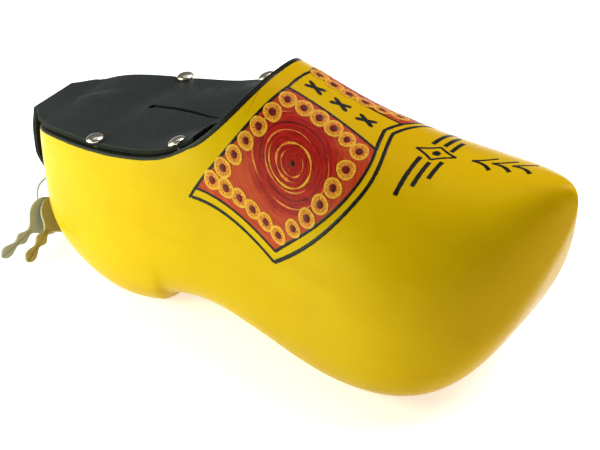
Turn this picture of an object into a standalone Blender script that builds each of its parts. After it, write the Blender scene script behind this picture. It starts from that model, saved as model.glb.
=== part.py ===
"""Wooden clog money box: lacquered hollow clog, tacked leathercloth cover with a coin slit,
hinged rear flap and heel strap over a staple, small padlock parked in the strap, wire ring, two keys.

Lengths below are in millimetres in shoe coordinates (x = 0 at the back of the heel, toe towards +x,
z = 0 on the floor).  world() moves x = 0 to the flat underside of the heel and scales to metres.
"""
import bpy
import bmesh
import math
import numpy as np
from mathutils import Vector

for ob in list(bpy.data.objects):
    bpy.data.objects.remove(ob, do_unlink=True)

MM = 0.001

# ---------------------------------------------------------------- clog body
LENGTH = 200.0                 # heel back to toe tip
HEEL_X = 30.0                  # flat underside of the heel
PHI_KNOTS = np.radians([0, 18, 38, 60, 82, 100, 118, 138, 158, 180])   # x = L/2 (1 - cos phi)
HALF_WIDTH = [0, 16.5, 25.2, 30.2, 30.8, 32.5, 36.5, 31.0, 13.0, 0]
KEEL = [36, 12.5, 0.5, -4.0, 4.0, -3.0, -2.5, 10.0, 42.0, 73]          # below 0 is cut flat by the floor
CREST = [36, 66, 82, 89, 92.2, 83.2, 77, 77, 79, 73]                       # virtual over the mouth
WIDEST = ([0, 60, 130, 200], [0.60, 0.46, 0.40, 0.28])                 # height share of the widest line
TOP_EXP = (2.25, 2.3)          # superellipse exponents, heel and toe
SOLE_EXP = (5.0, 3.8)
ARCH_STEP = 3.5                # heel breast
BREAST_X = (60, 65)            # the step up in front of the heel
ARCH_X = (66, 100)             # the arch fades out into the forefoot
RIM_X = [3, 14, 32, 52, 72, 88]
RIM_Z = [50.5, 54.0, 56.5, 59.5, 66.0, 79.5]
THROAT = (97.0, 92.6)
RIM_ROUND = 0.8
WALL = 6.2
FLOOR = 11.0
ROOF = 7.0
CAVITY = (6.5, 178.0)          # hollow, x from / to
CAVITY_END = 2.8               # how square the ends of the hollow are
CAVITY_WIDEST = 0.45           # height share of the hollow's widest line
CAVITY_EXP = (2.3, 2.6)        # superellipse exponents above and below it

# ---------------------------------------------------------------- cover sheet
SHEET_T = 1.8
SHEET_GAP = 0.45
FOLD_X = 33.0                  # living hinge between the two rear tacks and the heel
INSET = 1.2
SHOULDER_X = 79.5              # forward of this the sheet is tucked inside the mouth
SLIT = (43.0, 71.0, 1.7)       # coin slit, x from / to and width
SLIT_HOLE_R = 1.5
TACKS = ((38.2, 25.3), (73.0, 25.6))      # x and +-y of the four tacks
TACK_HEAD_R = 3.1
TACK_DOME = 1.7
TACK_SHANK_R = 0.8
TACK_LEN = 9.0
TACK_LIFT = 0.35               # clearance of a head over the cover
TUCK_X = 1.6                   # length of the step where the cover narrows to go inside
TUCK_GAP = 1.3                 # clearance of the tucked edge to the inner wall
TUCK_DROP, TUCK_RUN = 5.2, 8.0
FOLD_GAP = 0.15                # half of the gap that parts two pieces at a fold
HEEL_ROUND_X = 6.0             # behind this the cover narrows to the strap
CROWN_REAR, CROWN_FRONT, DISH = 0.9, 1.6, 3.6     # bow of the lid, of the panel, and the dish at the throat

# ---------------------------------------------------------------- heel strap and staple
STRAP_HALF = 10.4
STRAP_T = 1.8
BEND_R = 2.1
STRAP_BULGE = (                # outer face, z and x from the top down
    (50.5, -3.3), (47.5, -4.0), (43.8, -4.5), (38.5, -4.6), (33.0, -4.55),
    (30.0, -4.5), (27.4, -4.5), (23.0, -4.5), (21.5, -4.5),
)
STRAP_FOLD_X = -0.9
STRAP_END_Z = 19.6
STRAP_TAPER = 3.2              # half width lost towards the lower end
STRAP_CORNER = 1.6             # cut off each side of the end
STRAP_SLOT = (25.0, 43.8, 1.75)           # z from / to and half width; runs into the wide end below
LOCK_HOLE = (23.0, 27.6, 3.4)             # wide end of the keyhole slot
LOCK_Y = 1.5
STAPLE_Z = (36.0, 42.0)
STAPLE_R = 0.9
STAPLE_OUT = -9.3
STAPLE_DEPTH = 4.9             # legs end at this x inside the heel wall

# ---------------------------------------------------------------- padlock
LOCK_YAW = math.radians(42)
LOCK_W, LOCK_T, LOCK_Z = 13.0, 6.5, (4.1, 15.0)
SHACKLE_R, SHACKLE_HALF, CROWN_Z = 1.1, 4.3, 21.0
CASE_ROUND = 1.6
LEG_Z = (11.4, 8.6)            # lower ends of the short and the long leg
LEG_BORE = ((10.2, 1.0), (5.3, 1.0))      # bottom of each leg's bore and its overrun at the top
BORE_GAP = 0.2
LATCH_POCKET = ((-3.9, 1.1), (-0.95, 0.95), (10.3, 13.2))
LATCH_NOTCH = ((-4.15, -2.3), (-1.5, 1.5), (11.85, 13.3))
LATCH = ((-3.05, -0.4), (-0.75, 0.75), (12.1, 13.0))
PLUG_R = 2.4
PLUG_Z = (4.3, 9.4)
PLUG_BORE = (0.15, 10.5)       # radial clearance and top of the bore
PLUG_EDGE = 0.2
TONGUE_R, TONGUE_Z = 0.8, 10.1
KEYWAY = ((-1.75, 1.75), (-0.45, 0.45), 4.5)
SPRING_R, SPRING_WIRE, SPRING_TURNS, SPRING_Z, SPRING_LEN = 0.75, 0.2, 4, 5.5, 2.8

# ---------------------------------------------------------------- ring and keys
RING_R, RING_WIRE = 6.655, 0.42
RING_N = (0.195, -0.596, 0.779)           # the ring leans out from the shackle's near leg
RING_C = (-3.348, -4.582, 14.793)
KEYS_ON_RING = (1.791, 2.364)             # where the two keys hang, radians round the ring
KEY_BOW_R, KEY_T, KEY_HOLE_R = 7.0, 1.1, 2.1
KEY_1_LIE = ((-0.147, -0.945, -0.294), (0.862, -0.268, 0.430))   # along the blade, out of the flat
KEY_2_LIE = ((0.111, -0.934, -0.341), (0.777, -0.132, 0.615))
KEY_RIM = 1.0                             # metal left between the hole and the bow's edge
BLADE_LEN, BLADE_TIP = 17.0, 0.55
BLADE = (                                 # distance from the bow, half width
    (0.9, 2.9), (2.2, 2.35), (4.0, 2.6), (6.0, 2.35), (7.6, 1.65), (9.0, 1.6), (10.4, 2.35),
    (11.8, 2.2), (13.2, 1.35), (14.4, 1.45), (15.4, 1.9), (16.4, 1.5),
)


def smooth(u):
    u = np.clip(u, 0.0, 1.0)
    return u * u * (3 - 2 * u)


def ramp(x, lo, hi):
    """0 at lo, 1 at hi, smooth between."""
    return smooth((x - lo) / (hi - lo))


def unit(v):
    v = np.asarray(v, float)
    return v / np.linalg.norm(v)


def circle(r, count, start=0.0):
    """Points on a circle."""
    turn = start + 2 * np.pi * np.arange(count) / count
    return [(r * math.cos(a), r * math.sin(a)) for a in turn]


def spline(xk, yk, x):
    """Cubic spline, not-a-knot ends."""
    xk = np.asarray(xk, float)
    yk = np.asarray(yk, float)
    n = len(xk)
    h = np.diff(xk)
    A = np.zeros((n, n))
    r = np.zeros(n)
    A[0, :3] = [h[1], -(h[0] + h[1]), h[0]]
    A[-1, -3:] = [h[-1], -(h[-2] + h[-1]), h[-2]]
    for i in range(1, n - 1):
        A[i, i - 1:i + 2] = [h[i - 1], 2 * (h[i - 1] + h[i]), h[i]]
        r[i] = 6 * ((yk[i + 1] - yk[i]) / h[i] - (yk[i] - yk[i - 1]) / h[i - 1])
    m = np.linalg.solve(A, r)
    x = np.asarray(x, float)
    k = np.clip(np.searchsorted(xk, x, side="right") - 1, 0, n - 2)
    a = (xk[k + 1] - x) / h[k]
    b = (x - xk[k]) / h[k]
    cubic = (a ** 3 - a) * m[k] + (b ** 3 - b) * m[k + 1]
    return a * yk[k] + b * yk[k + 1] + cubic * h[k] ** 2 / 6


def phi_of(x):
    return np.arccos(np.clip(1 - 2 * np.asarray(x, float) / LENGTH, -1, 1))


def outer_curves(x):
    """Half width, keel, crest, widest height and the two exponents at station x."""
    p = phi_of(x)
    w = np.maximum(spline(PHI_KNOTS, HALF_WIDTH, p), 0.0)
    b = spline(PHI_KNOTS, KEEL, p)
    b = b + ARCH_STEP * ramp(x, *BREAST_X) * (1 - ramp(x, *ARCH_X))
    t = spline(PHI_KNOTS, CREST, p)
    b = np.minimum(b, t)
    m = spline(WIDEST[0], WIDEST[1], x)
    zm = b + (t - b) * m
    s = x / LENGTH
    top = TOP_EXP[0] * (1 - s) + TOP_EXP[1] * s
    sole = SOLE_EXP[0] * (1 - s) + SOLE_EXP[1] * s
    return w, b, t, zm, top, sole


def inner_curves(x):
    w, b, t, zm, nt, nb = outer_curves(x)
    x0, x1 = CAVITY
    c = np.clip((2 * x - x0 - x1) / (x1 - x0), -1, 1)
    e = (1 - np.abs(c) ** CAVITY_END) ** (1 / CAVITY_END)
    lo = max(b, 0.0) + FLOOR
    hi = t - ROOF
    zc = 0.5 * (lo + hi)
    lo = zc - (zc - lo) * e
    hi = zc + (hi - zc) * e
    return max(w - WALL, 0.0) * e, lo, hi, lo + (hi - lo) * CAVITY_WIDEST, *CAVITY_EXP


def rim_z(x):
    return spline(RIM_X + [THROAT[0]], RIM_Z + [THROAT[1]], np.clip(x, -2.0, THROAT[0] + 3))


def half_at(curves, x, z):
    """Half width of the section at height z (upper half)."""
    w, b, t, zm, nt, nb = curves(x)
    if z <= zm:
        return float(w)
    q = min(max((z - zm) / max(t - zm, 1e-9), 0.0), 1.0)
    return float(w * (1 - q ** nt) ** (1 / nt))


def section(curves, x, n, z_cut=None, flat=True):
    """n + 1 points (y, z) from the keel up to the crest or to height z_cut, evenly spaced."""
    w, b, t, zm, nt, nb = curves(x)
    a = np.linspace(0, math.pi / 2, 90)
    y = np.concatenate([w * np.sin(a) ** (2 / nb), w * np.cos(a[1:]) ** (2 / nt)])
    z = np.concatenate([zm - (zm - b) * np.cos(a) ** (2 / nb), zm + (t - zm) * np.sin(a[1:]) ** (2 / nt)])
    y[-1] = 0.0
    if z_cut is not None:
        q = min(max((z_cut - zm) / max(t - zm, 1e-9), 0.0), 1.0)
        keep = z < z_cut - 1e-6
        y = np.append(y[keep], w * (1 - q ** nt) ** (1 / nt))
        z = np.append(z[keep], min(z_cut, t))
    if flat:
        z = np.maximum(z, 0.0)
    d = np.concatenate([[0], np.cumsum(np.hypot(np.diff(y), np.diff(z)))])
    s = np.linspace(0, d[-1], n + 1)
    return np.stack([np.interp(s, d, y), np.interp(s, d, z)], 1)


def bisect(f, a, b):
    fa = f(a)
    for _ in range(60):
        c = 0.5 * (a + b)
        if (f(c) > 0) == (fa > 0):
            a = c
        else:
            b = c
    return 0.5 * (a + b)


def mouth_ends(curves, lo, hi):
    """x where the crest curve crosses the rim profile at the heel and at the throat."""
    def above(x):
        return curves(x)[2] - (rim_z(x) - RIM_ROUND)

    return bisect(above, lo, 40.0), bisect(above, 60.0, hi)


class Bag:
    """Growing list of vertices and faces; equal vertices are welded in build()."""

    def __init__(self):
        self.v = []
        self.f = []

    def add(self, pts):
        i = len(self.v)
        self.v.extend([tuple(float(c) for c in p) for p in pts])
        return list(range(i, i + len(pts)))

    def face(self, corners):
        """Face over the corners, leaving out any that repeat."""
        kept = list(dict.fromkeys(corners))
        if len(kept) > 2:
            self.f.append(tuple(kept))

    def strip(self, a, b, flip=False):
        """Quads between two rows of vertices."""
        for i in range(len(a) - 1):
            q = (a[i], a[i + 1], b[i + 1], b[i])
            self.face(q[::-1] if flip else q)

    def prism(self, lower, upper):
        """Walls and both ends between two closed outlines."""
        lo = self.add(lower)
        hi = self.add(upper)
        self.strip(lo + lo[:1], hi + hi[:1])
        self.face(lo)
        self.face(hi)


def world(p):
    return Vector(((p[0] - HEEL_X) * MM, p[1] * MM, p[2] * MM))


def build(name, bag, mat, weld=2e-3):
    me = bpy.data.meshes.new(name)
    me.from_pydata([world(p) for p in bag.v], [], bag.f)
    bm = bmesh.new()
    bm.from_mesh(me)
    bmesh.ops.remove_doubles(bm, verts=bm.verts, dist=weld * MM)
    bmesh.ops.dissolve_degenerate(bm, edges=bm.edges, dist=1e-7)
    bmesh.ops.recalc_face_normals(bm, faces=bm.faces)
    bm.to_mesh(me)
    bm.free()
    ob = bpy.data.objects.new(name, me)
    bpy.context.scene.collection.objects.link(ob)
    if mat is not None:
        me.materials.append(mat)
    return ob


def material(name, rgb, rough, metal=0.0):
    m = bpy.data.materials.new(name)
    m.use_nodes = True
    p = m.node_tree.nodes["Principled BSDF"]
    p.inputs["Base Color"].default_value = (*rgb, 1)
    p.inputs["Roughness"].default_value = rough
    p.inputs["Metallic"].default_value = metal
    return m


def cut(ob, cutters):
    """Subtract the cutter objects, then remove them."""
    for c in cutters:
        mod = ob.modifiers.new("cut", "BOOLEAN")
        mod.operation = "DIFFERENCE"
        mod.solver = "EXACT"
        mod.object = c
    bpy.context.view_layer.update()
    dg = bpy.context.evaluated_depsgraph_get()
    me = bpy.data.meshes.new_from_object(ob.evaluated_get(dg))
    ob.modifiers.clear()
    old = ob.data
    name = old.name
    ob.data = me
    bpy.data.meshes.remove(old)
    me.name = name
    bm = bmesh.new()
    bm.from_mesh(me)
    bmesh.ops.triangulate(bm, faces=bm.faces)
    bmesh.ops.remove_doubles(bm, verts=bm.verts, dist=2e-7)
    bmesh.ops.dissolve_degenerate(bm, edges=bm.edges, dist=2e-7)
    bm.to_mesh(me)
    bm.free()
    for c in cutters:
        bpy.data.objects.remove(c, do_unlink=True)
    return ob


def frame_of(axis, origin, hint=(0, 0, 1)):
    """Columns u, v, axis at origin."""
    a = unit(axis)
    h = np.asarray(hint, float)
    if abs(a @ h) > 0.95:
        h = np.array([1.0, 0, 0])
    u = unit(np.cross(h, a))
    return u, np.cross(a, u), a, np.asarray(origin, float)


def lathe(bag, profile, origin, axis, segs):
    """Closed solid of revolution; profile is (radius, height) from bottom axis point to top axis point."""
    u, v, a, o = frame_of(axis, origin)
    rows = []
    for r, h in profile:
        if r < 1e-6:
            rows.append(bag.add([o + a * h]) * (segs + 1))
        else:
            row = bag.add([o + a * h + u * p + v * q for p, q in circle(r, segs)])
            rows.append(row + row[:1])
    for lo, hi in zip(rows[:-1], rows[1:]):
        bag.strip(lo, hi)


def cylinder(name, origin, axis, r, h0, h1, segs=12, mat=None):
    b = Bag()
    lathe(b, [(0, h0), (r, h0), (r, h1), (0, h1)], origin, axis, segs)
    return build(name, b, mat)


def tube(bag, path, r, sides, closed=False):
    """Round wire along a polyline, with flat ends when it is open."""
    P = [np.asarray(p, float) for p in path]
    n = len(P)
    T = []
    for i in range(n):
        a = P[(i - 1) % n] if (closed or i > 0) else P[i]
        b = P[(i + 1) % n] if (closed or i < n - 1) else P[i]
        T.append(unit(b - a))
    u = unit(np.cross(T[0], [0.3, 0.2, 1.0]))
    rows = []
    for i in range(n):
        u = unit(u - T[i] * (u @ T[i]))
        v = np.cross(T[i], u)
        rows.append(bag.add([P[i] + u * p + v * q for p, q in circle(r, sides)]))
    pairs = list(zip(rows[:-1], rows[1:])) + ([(rows[-1], rows[0])] if closed else [])
    for j, (a, b) in enumerate(pairs):
        s = 0
        if closed and j == n - 1:
            d = [np.linalg.norm(np.array(bag.v[a[0]]) - np.array(bag.v[b[k]])) for k in range(sides)]
            s = int(np.argmin(d))
        for k in range(sides):
            bag.face((a[k], a[(k + 1) % sides], b[(k + 1 + s) % sides], b[(k + s) % sides]))
    if not closed:
        bag.face(rows[0])
        bag.face(rows[-1])


# ================================================================ materials
YELLOW = material("lacquer_yellow", (0.86, 0.62, 0.02), 0.22)
BLACK = material("leathercloth", (0.035, 0.04, 0.045), 0.55)
NICKEL = material("nickel", (0.62, 0.60, 0.55), 0.25, 1.0)
STEEL = material("steel_wire", (0.55, 0.56, 0.58), 0.3, 1.0)
BRASS = material("brass", (0.62, 0.50, 0.25), 0.35, 1.0)
KEY_GREY = material("key_steel", (0.50, 0.50, 0.48), 0.35, 1.0)
KEY_BRASS = material("key_brass", (0.55, 0.50, 0.30), 0.38, 1.0)

# ================================================================ clog body
XH, XT = mouth_ends(outer_curves, 0.01, 130.0)
XHI, XTI = mouth_ends(inner_curves, CAVITY[0] + 0.01, 130.0)


def spread(a, b, n, p=1.0):
    """n + 1 values from a to b, closer together at both ends."""
    u = np.linspace(0, 1, n + 1)
    return a + (b - a) * (u * (1 - p) + p * (1 - np.cos(math.pi * u)) / 2)


def skin(bag, curves, x_ends, mouth, counts, n, flat):
    """Grid over one skin.  Returns the two rim rows (right, left)."""
    x0, x1 = x_ends
    xh, xt = mouth
    nh, nm, nt = counts
    mid = 0.5 * (x0 + x1)
    half = 0.5 * (x1 - x0)
    heel_turn, throat_turn = [math.acos(max(-1, min(1, (mid - x) / half))) for x in (xh, xt)]
    head = [mid - half * math.cos(a) for a in np.linspace(0, heel_turn, nh + 1)]
    body = list(spread(xh, xt, nm, 0.85))
    tail = [mid - half * math.cos(a) for a in np.linspace(throat_turn, math.pi, nt + 1)]
    stations = head[:-1] + body + tail[1:]
    sides = []
    for sy in (1, -1):
        rows = []
        for i, x in enumerate(stations):
            if i == 0 or i == len(stations) - 1:
                z = 0.5 * (curves(x)[1] + curves(x)[2])
                rows.append(bag.add([(x, 0, z)]) * (n + 1))
                continue
            cut_z = rim_z(x) - RIM_ROUND if nh <= i <= nh + nm else None
            sec = section(curves, x, n, cut_z, flat)
            if i in (nh, nh + nm):
                sec[-1, 0] = 0.0
            sec[0, 0] = 0.0
            rows.append(bag.add([(x, sy * y, z) for y, z in sec]))
        sides.append(rows)
        for a, b in zip(rows[:-1], rows[1:]):
            bag.strip(a, b, flip=sy < 0)
    return [[sides[s][i][n] for i in range(nh, nh + nm + 1)] for s in (0, 1)]


MOUTH_STATIONS = 22


def make_clog():
    """Outer skin and hollow, joined over the rim of the mouth."""
    bag = Bag()
    outside = skin(bag, outer_curves, (0.0, LENGTH), (XH, XT), (3, MOUTH_STATIONS, 15), 15, True)
    inside = skin(bag, inner_curves, CAVITY, (XHI, XTI), (2, MOUTH_STATIONS, 11), 11, False)
    for outer_row, inner_row in zip(outside, inside):
        rows = [outer_row, [], [], inner_row]
        for i in range(MOUTH_STATIONS + 1):
            a = np.array(bag.v[outer_row[i]])
            b = np.array(bag.v[inner_row[i]])
            across = (b - a)[:2]
            share = RIM_ROUND / np.linalg.norm(across)
            for k, s in ((1, share), (2, 1 - share)):
                p = a[:2] + across * s
                rows[k] += bag.add([(p[0], p[1], rim_z(p[0]))])
        for a, b in zip(rows[:-1], rows[1:]):
            bag.strip(a, b)
    return build("clog_body", bag, YELLOW, weld=1e-2)


clog = make_clog()

# ================================================================ cover sheet
def outline(x):
    """Half width of the cover at x."""
    if x < HEEL_ROUND_X:
        full = half_at(outer_curves, HEEL_ROUND_X, rim_z(HEEL_ROUND_X)) - INSET + 0.6
        return STRAP_HALF + (full - STRAP_HALF) * float(ramp(x, -2.0, HEEL_ROUND_X))
    rim = half_at(outer_curves, x, rim_z(x)) - INSET + 0.6 * float(1 - ramp(x, 6, 26))
    if x <= SHOULDER_X:
        return rim
    z = edge_z(x)
    tuck = min(half_at(inner_curves, x, z), half_at(inner_curves, x, z + SHEET_T)) - TUCK_GAP
    k = float(ramp(x, SHOULDER_X, SHOULDER_X + TUCK_X))
    return rim * (1 - k) + tuck * k


def edge_z(x):
    """Underside of the cover along its edge."""
    if x < 8:
        return float(rim_z(8.0)) + SHEET_GAP - 0.06 * (8 - x)
    start = SHOULDER_X + 1.5
    return float(rim_z(x)) + SHEET_GAP - TUCK_DROP * float(ramp(x, start, start + TUCK_RUN))


def sheet_z(x, y):
    """Underside of the cover, crowned at the rear and dished towards the throat."""
    xi = min(max(x, CAVITY[0] + 0.5), XTI)
    reach = max(half_at(inner_curves, xi, min(rim_z(x), inner_curves(xi)[2])), 1.0)
    bow = CROWN_FRONT * float(ramp(x, FOLD_X + 1, FOLD_X + 13) * (1 - ramp(x, 52, 66)))
    bow -= DISH * float(ramp(x, 60, 76) * (1 - ramp(x, 86, 94)))
    bow += CROWN_REAR * float(ramp(x, 4, 14) * (1 - ramp(x, FOLD_X - 11, FOLD_X - 1)))
    return edge_z(x) + bow * max(0.0, 1 - (y / reach) ** 2) ** 1.5


def sheet(name, xs, n):
    b = Bag()
    top, bot = [], []
    for x in xs:
        w = outline(x)
        ys = [w * math.copysign(abs(s) ** 0.85, s) for s in np.linspace(-1, 1, n + 1)]
        bot.append(b.add([(x, y, sheet_z(x, y)) for y in ys]))
        top.append(b.add([(x, y, sheet_z(x, y) + SHEET_T) for y in ys]))
    for r0, r1 in zip(bot[:-1], bot[1:]):
        b.strip(r0, r1)
    for r0, r1 in zip(top[:-1], top[1:]):
        b.strip(r0, r1, True)
    b.strip(bot[0], top[0])
    b.strip(bot[-1], top[-1], True)
    b.strip([r[0] for r in bot], [r[0] for r in top], True)
    b.strip([r[-1] for r in bot], [r[-1] for r in top])
    return build(name, b, BLACK)


front = SHOULDER_X + TUCK_X
while outline(front) > 6.0 and front < XTI - 1.4:
    front += 0.25
panel_x = list(np.linspace(FOLD_X + FOLD_GAP, SHOULDER_X, 13))
panel_x.append(SHOULDER_X + TUCK_X / 2)
panel_x += list(np.linspace(SHOULDER_X + TUCK_X, front, 7))
panel = sheet("cover_panel", panel_x, 12)
lid_x = list(np.linspace(STRAP_FOLD_X + FOLD_GAP, 8, 5))
lid_x += list(np.linspace(8, FOLD_X - FOLD_GAP, 7))[1:]
sheet("lid_flap", lid_x, 12)


def tack_seat(x, y):
    """Underside centre of a tack's head and the tack's axis."""
    slope = rim_z(x + 0.5) - rim_z(x - 0.5)
    ax = np.array([-slope, 0, 1.0]) / math.hypot(1, slope)
    return np.array([x, y, sheet_z(x, y) + SHEET_T]) + ax * TACK_LIFT, ax


def slit_cutter():
    """Tapering coin slit."""
    x0, x1, width = SLIT
    half = width / 2
    pts = [(x0, -half), (x1, -half / 2), (x1 + 0.6, 0), (x1, half / 2), (x0, half)]
    bag = Bag()
    bag.prism([(x, y, 40) for x, y in pts], [(x, y, 90) for x, y in pts])
    return build("c", bag, None)


SEATS = [tack_seat(x, side * y) for side in (-1, 1) for x, y in TACKS]
cutters = [cylinder("c", foot, axis, TACK_SHANK_R + 0.3, -5, 5, 10) for foot, axis in SEATS]
cutters.append(slit_cutter())
cutters.append(cylinder("c", (SLIT[0], 0, 0), (0, 0, 1), SLIT_HOLE_R, 40, 90, 12))
cut(panel, cutters)


# ================================================================ tacks
def make_tack(name, foot, axis):
    """Domed head on a pointed shank."""
    edge = 0.25
    prof = [(0, -TACK_LEN - 1.5), (TACK_SHANK_R, -TACK_LEN), (TACK_SHANK_R, 0)]
    prof += [(TACK_HEAD_R * 0.93, 0), (TACK_HEAD_R, edge)]
    for a in np.radians([25, 48, 70]):
        prof.append((TACK_HEAD_R * math.cos(a), edge + (TACK_DOME - edge) * math.sin(a)))
    prof.append((0, TACK_DOME))
    bag = Bag()
    lathe(bag, prof, foot, axis, 14)
    build(name, bag, NICKEL)


for i, (foot, axis) in enumerate(SEATS):
    make_tack("tack_%d" % (i + 1), foot, axis)

# blind holes for the tacks and the staple legs
cutters = []
for foot, axis in SEATS:
    cutters.append(cylinder("c", foot, axis, TACK_SHANK_R + 0.25, -TACK_LEN - 2.0, 3.0, 10))
for z in STAPLE_Z:
    cutters.append(cylinder("c", (0, 0, z), (1, 0, 0), STAPLE_R + 0.15, -4.0, STAPLE_DEPTH + 0.4, 10))
cut(clog, cutters)

# ================================================================ heel strap
def strap_path():
    """Outer face from the fold down: x, z and the way to the inner face."""
    top = sheet_z(STRAP_FOLD_X, STRAP_HALF) + SHEET_T
    path = []
    for a in np.radians([0, 22.5, 45, 67.5, 90]):
        x = STRAP_FOLD_X - FOLD_GAP - BEND_R * math.sin(a)
        path.append((x, top - BEND_R * (1 - math.cos(a)), math.sin(a), math.cos(a)))
    run = [(path[-1][1], path[-1][0])] + list(STRAP_BULGE) + [(STRAP_END_Z, STRAP_BULGE[-1][1])]
    for i in range(1, len(run)):
        z0, x0 = run[i - 1]
        z1, x1 = run[min(i + 1, len(run) - 1)]
        t = unit([x1 - x0, z1 - z0])
        path.append((run[i][1], run[i][0], -t[1], t[0]))
    return path


def make_strap():
    """Strap bent down behind the heel, narrower at its lower end."""
    bag = Bag()
    outer_rows, inner_rows = [], []
    for x, z, nx, nz in strap_path():
        k = float(ramp(-z, -36, -22))
        half = STRAP_HALF - STRAP_TAPER * k - (STRAP_CORNER if z <= STRAP_END_Z + 0.01 else 0)
        ys = [LOCK_Y * k * 0.7 + half * s for s in np.linspace(-1, 1, 7)]
        outer_rows.append(bag.add([(x, y, z) for y in ys]))
        inner_rows.append(bag.add([(x + STRAP_T * nx, y, z - STRAP_T * nz) for y in ys]))
    for a, b in zip(outer_rows[:-1], outer_rows[1:]):
        bag.strip(a, b)
    for a, b in zip(inner_rows[:-1], inner_rows[1:]):
        bag.strip(a, b, True)
    bag.strip(outer_rows[0], inner_rows[0])
    bag.strip(outer_rows[-1], inner_rows[-1], True)
    bag.strip([r[0] for r in outer_rows], [r[0] for r in inner_rows], True)
    bag.strip([r[-1] for r in outer_rows], [r[-1] for r in inner_rows])
    return build("heel_strap", bag, BLACK)


def slot_cutter(y, z0, z1, half):
    """Rounded upright or lying slot through the strap, along x."""
    mid = 0.5 * (z0 + z1)
    r = min(half, (z1 - z0) / 2)
    if half <= (z1 - z0) / 2:
        ends = [(y, z1 - r, 0), (y, z0 + r, 180)]
    else:
        ends = [(y + half - r, mid, -90), (y - half + r, mid, 90)]
    pts = []
    for cy, cz, a0 in ends:
        for a in np.radians(np.linspace(a0, a0 + 180, 7)):
            pts.append((cy + r * math.cos(a), cz + r * math.sin(a)))
    bag = Bag()
    bag.prism([(-12, p, q) for p, q in pts], [(-1.0, p, q) for p, q in pts])
    return build("c", bag, None)


cut(make_strap(), [slot_cutter(0.0, *STRAP_SLOT), slot_cutter(LOCK_Y, *LOCK_HOLE)])


# ================================================================ staple
def make_staple():
    """Bent wire with both legs in the heel wall."""
    low, high = STAPLE_Z
    bend = 0.5 * (high - low)
    x_bend = STAPLE_OUT + STAPLE_R + bend
    legs = (STAPLE_DEPTH, 1.0, -4.0)
    path = [(x, 0, low) for x in legs]
    for a in np.radians(np.linspace(0, 180, 9)):
        path.append((x_bend - bend * math.sin(a), 0, low + bend - bend * math.cos(a)))
    path += [(x, 0, high) for x in legs[::-1]]
    bag = Bag()
    tube(bag, path, STAPLE_R, 8)
    build("staple", bag, STEEL)


make_staple()

# ================================================================ padlock
LOCK_U = np.array([-math.cos(LOCK_YAW), math.sin(LOCK_YAW), 0.0])     # near leg to far leg
LOCK_N = np.array([math.sin(LOCK_YAW), math.cos(LOCK_YAW), 0.0])      # through the thickness
LOCK_AT = np.array([STRAP_BULGE[-1][1] + STRAP_T / 2, LOCK_Y, 0.0])
UP = (0, 0, 1)


def lk(u, n, z):
    """Point in the padlock's own frame."""
    return LOCK_AT + LOCK_U * u + LOCK_N * n + np.array([0, 0, z])


def lock_box(name, u, n, z, mat, corner=0.0, segs=1):
    """Box in the padlock's frame, with rounded upright edges when corner is given."""
    pts = []
    if corner:
        turns = ((u[1] - corner, n[1] - corner, 0), (u[0] + corner, n[1] - corner, 90),
                 (u[0] + corner, n[0] + corner, 180), (u[1] - corner, n[0] + corner, 270))
        for cu, cn, a0 in turns:
            for a in np.radians(np.linspace(a0, a0 + 90, segs + 1)):
                pts.append((cu + corner * math.cos(a), cn + corner * math.sin(a)))
    else:
        pts = [(u[0], n[0]), (u[1], n[0]), (u[1], n[1]), (u[0], n[1])]
    bag = Bag()
    bag.prism([lk(p, q, z[0]) for p, q in pts], [lk(p, q, z[1]) for p, q in pts])
    return build(name, bag, mat)


def make_case():
    w, t = LOCK_W / 2, LOCK_T / 2
    case = lock_box("padlock_case", (-w, w), (-t, t), LOCK_Z, BRASS, CASE_ROUND, 3)
    holes = []
    for u, (bottom, over) in zip((-SHACKLE_HALF, SHACKLE_HALF), LEG_BORE):
        holes.append(cylinder("c", lk(u, 0, 0), UP, SHACKLE_R + BORE_GAP, bottom, LOCK_Z[1] + over, 14))
    gap, top = PLUG_BORE
    holes.append(cylinder("c", lk(0, 0, 0), UP, PLUG_R + gap, LOCK_Z[0] - 1, top, 20))
    holes.append(lock_box("c", *LATCH_POCKET, None))
    cut(case, holes)


def make_shackle():
    """Round bar bent to a U; the short leg carries the latch notch."""
    near, far = -SHACKLE_HALF, SHACKLE_HALF
    path = [lk(near, 0, z) for z in (LEG_Z[0], 13.5, 17.5)]
    for a in np.radians(np.linspace(0, 180, 13)):
        path.append(lk(near * math.cos(a), 0, CROWN_Z + far * math.sin(a)))
    path += [lk(far, 0, z) for z in (17.5, 13.5, LEG_Z[1])]
    bag = Bag()
    tube(bag, path, SHACKLE_R, 10)
    cut(build("shackle", bag, STEEL), [lock_box("c", *LATCH_NOTCH, None)])


def make_plug():
    """Key plug with a keyway below and a drive tongue above."""
    z0, z1 = PLUG_Z
    prof = [(0, z0), (PLUG_R - PLUG_EDGE, z0), (PLUG_R, z0 + PLUG_EDGE), (PLUG_R, z1)]
    prof += [(TONGUE_R, z1), (TONGUE_R, TONGUE_Z), (0, TONGUE_Z)]
    bag = Bag()
    lathe(bag, prof, lk(0, 0, 0), UP, 20)
    across, through, deep = KEYWAY
    cut(build("key_plug", bag, BRASS), [lock_box("c", across, through, (z0 - 1, z0 + deep), None)])


def make_spring(steps=9, sides=5):
    """Lift spring under the long leg."""
    count = SPRING_TURNS * steps
    rise = np.linspace(SPRING_WIRE, SPRING_LEN - SPRING_WIRE, count + 1)
    u, v, a, o = frame_of(UP, lk(SHACKLE_HALF, 0, SPRING_Z))
    turn = 2 * np.pi * np.arange(count + 1) / steps
    path = [o + a * h + SPRING_R * (u * math.cos(t) + v * math.sin(t)) for h, t in zip(rise, turn)]
    bag = Bag()
    tube(bag, path, SPRING_WIRE, sides)
    build("shackle_spring", bag, STEEL)


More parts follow.
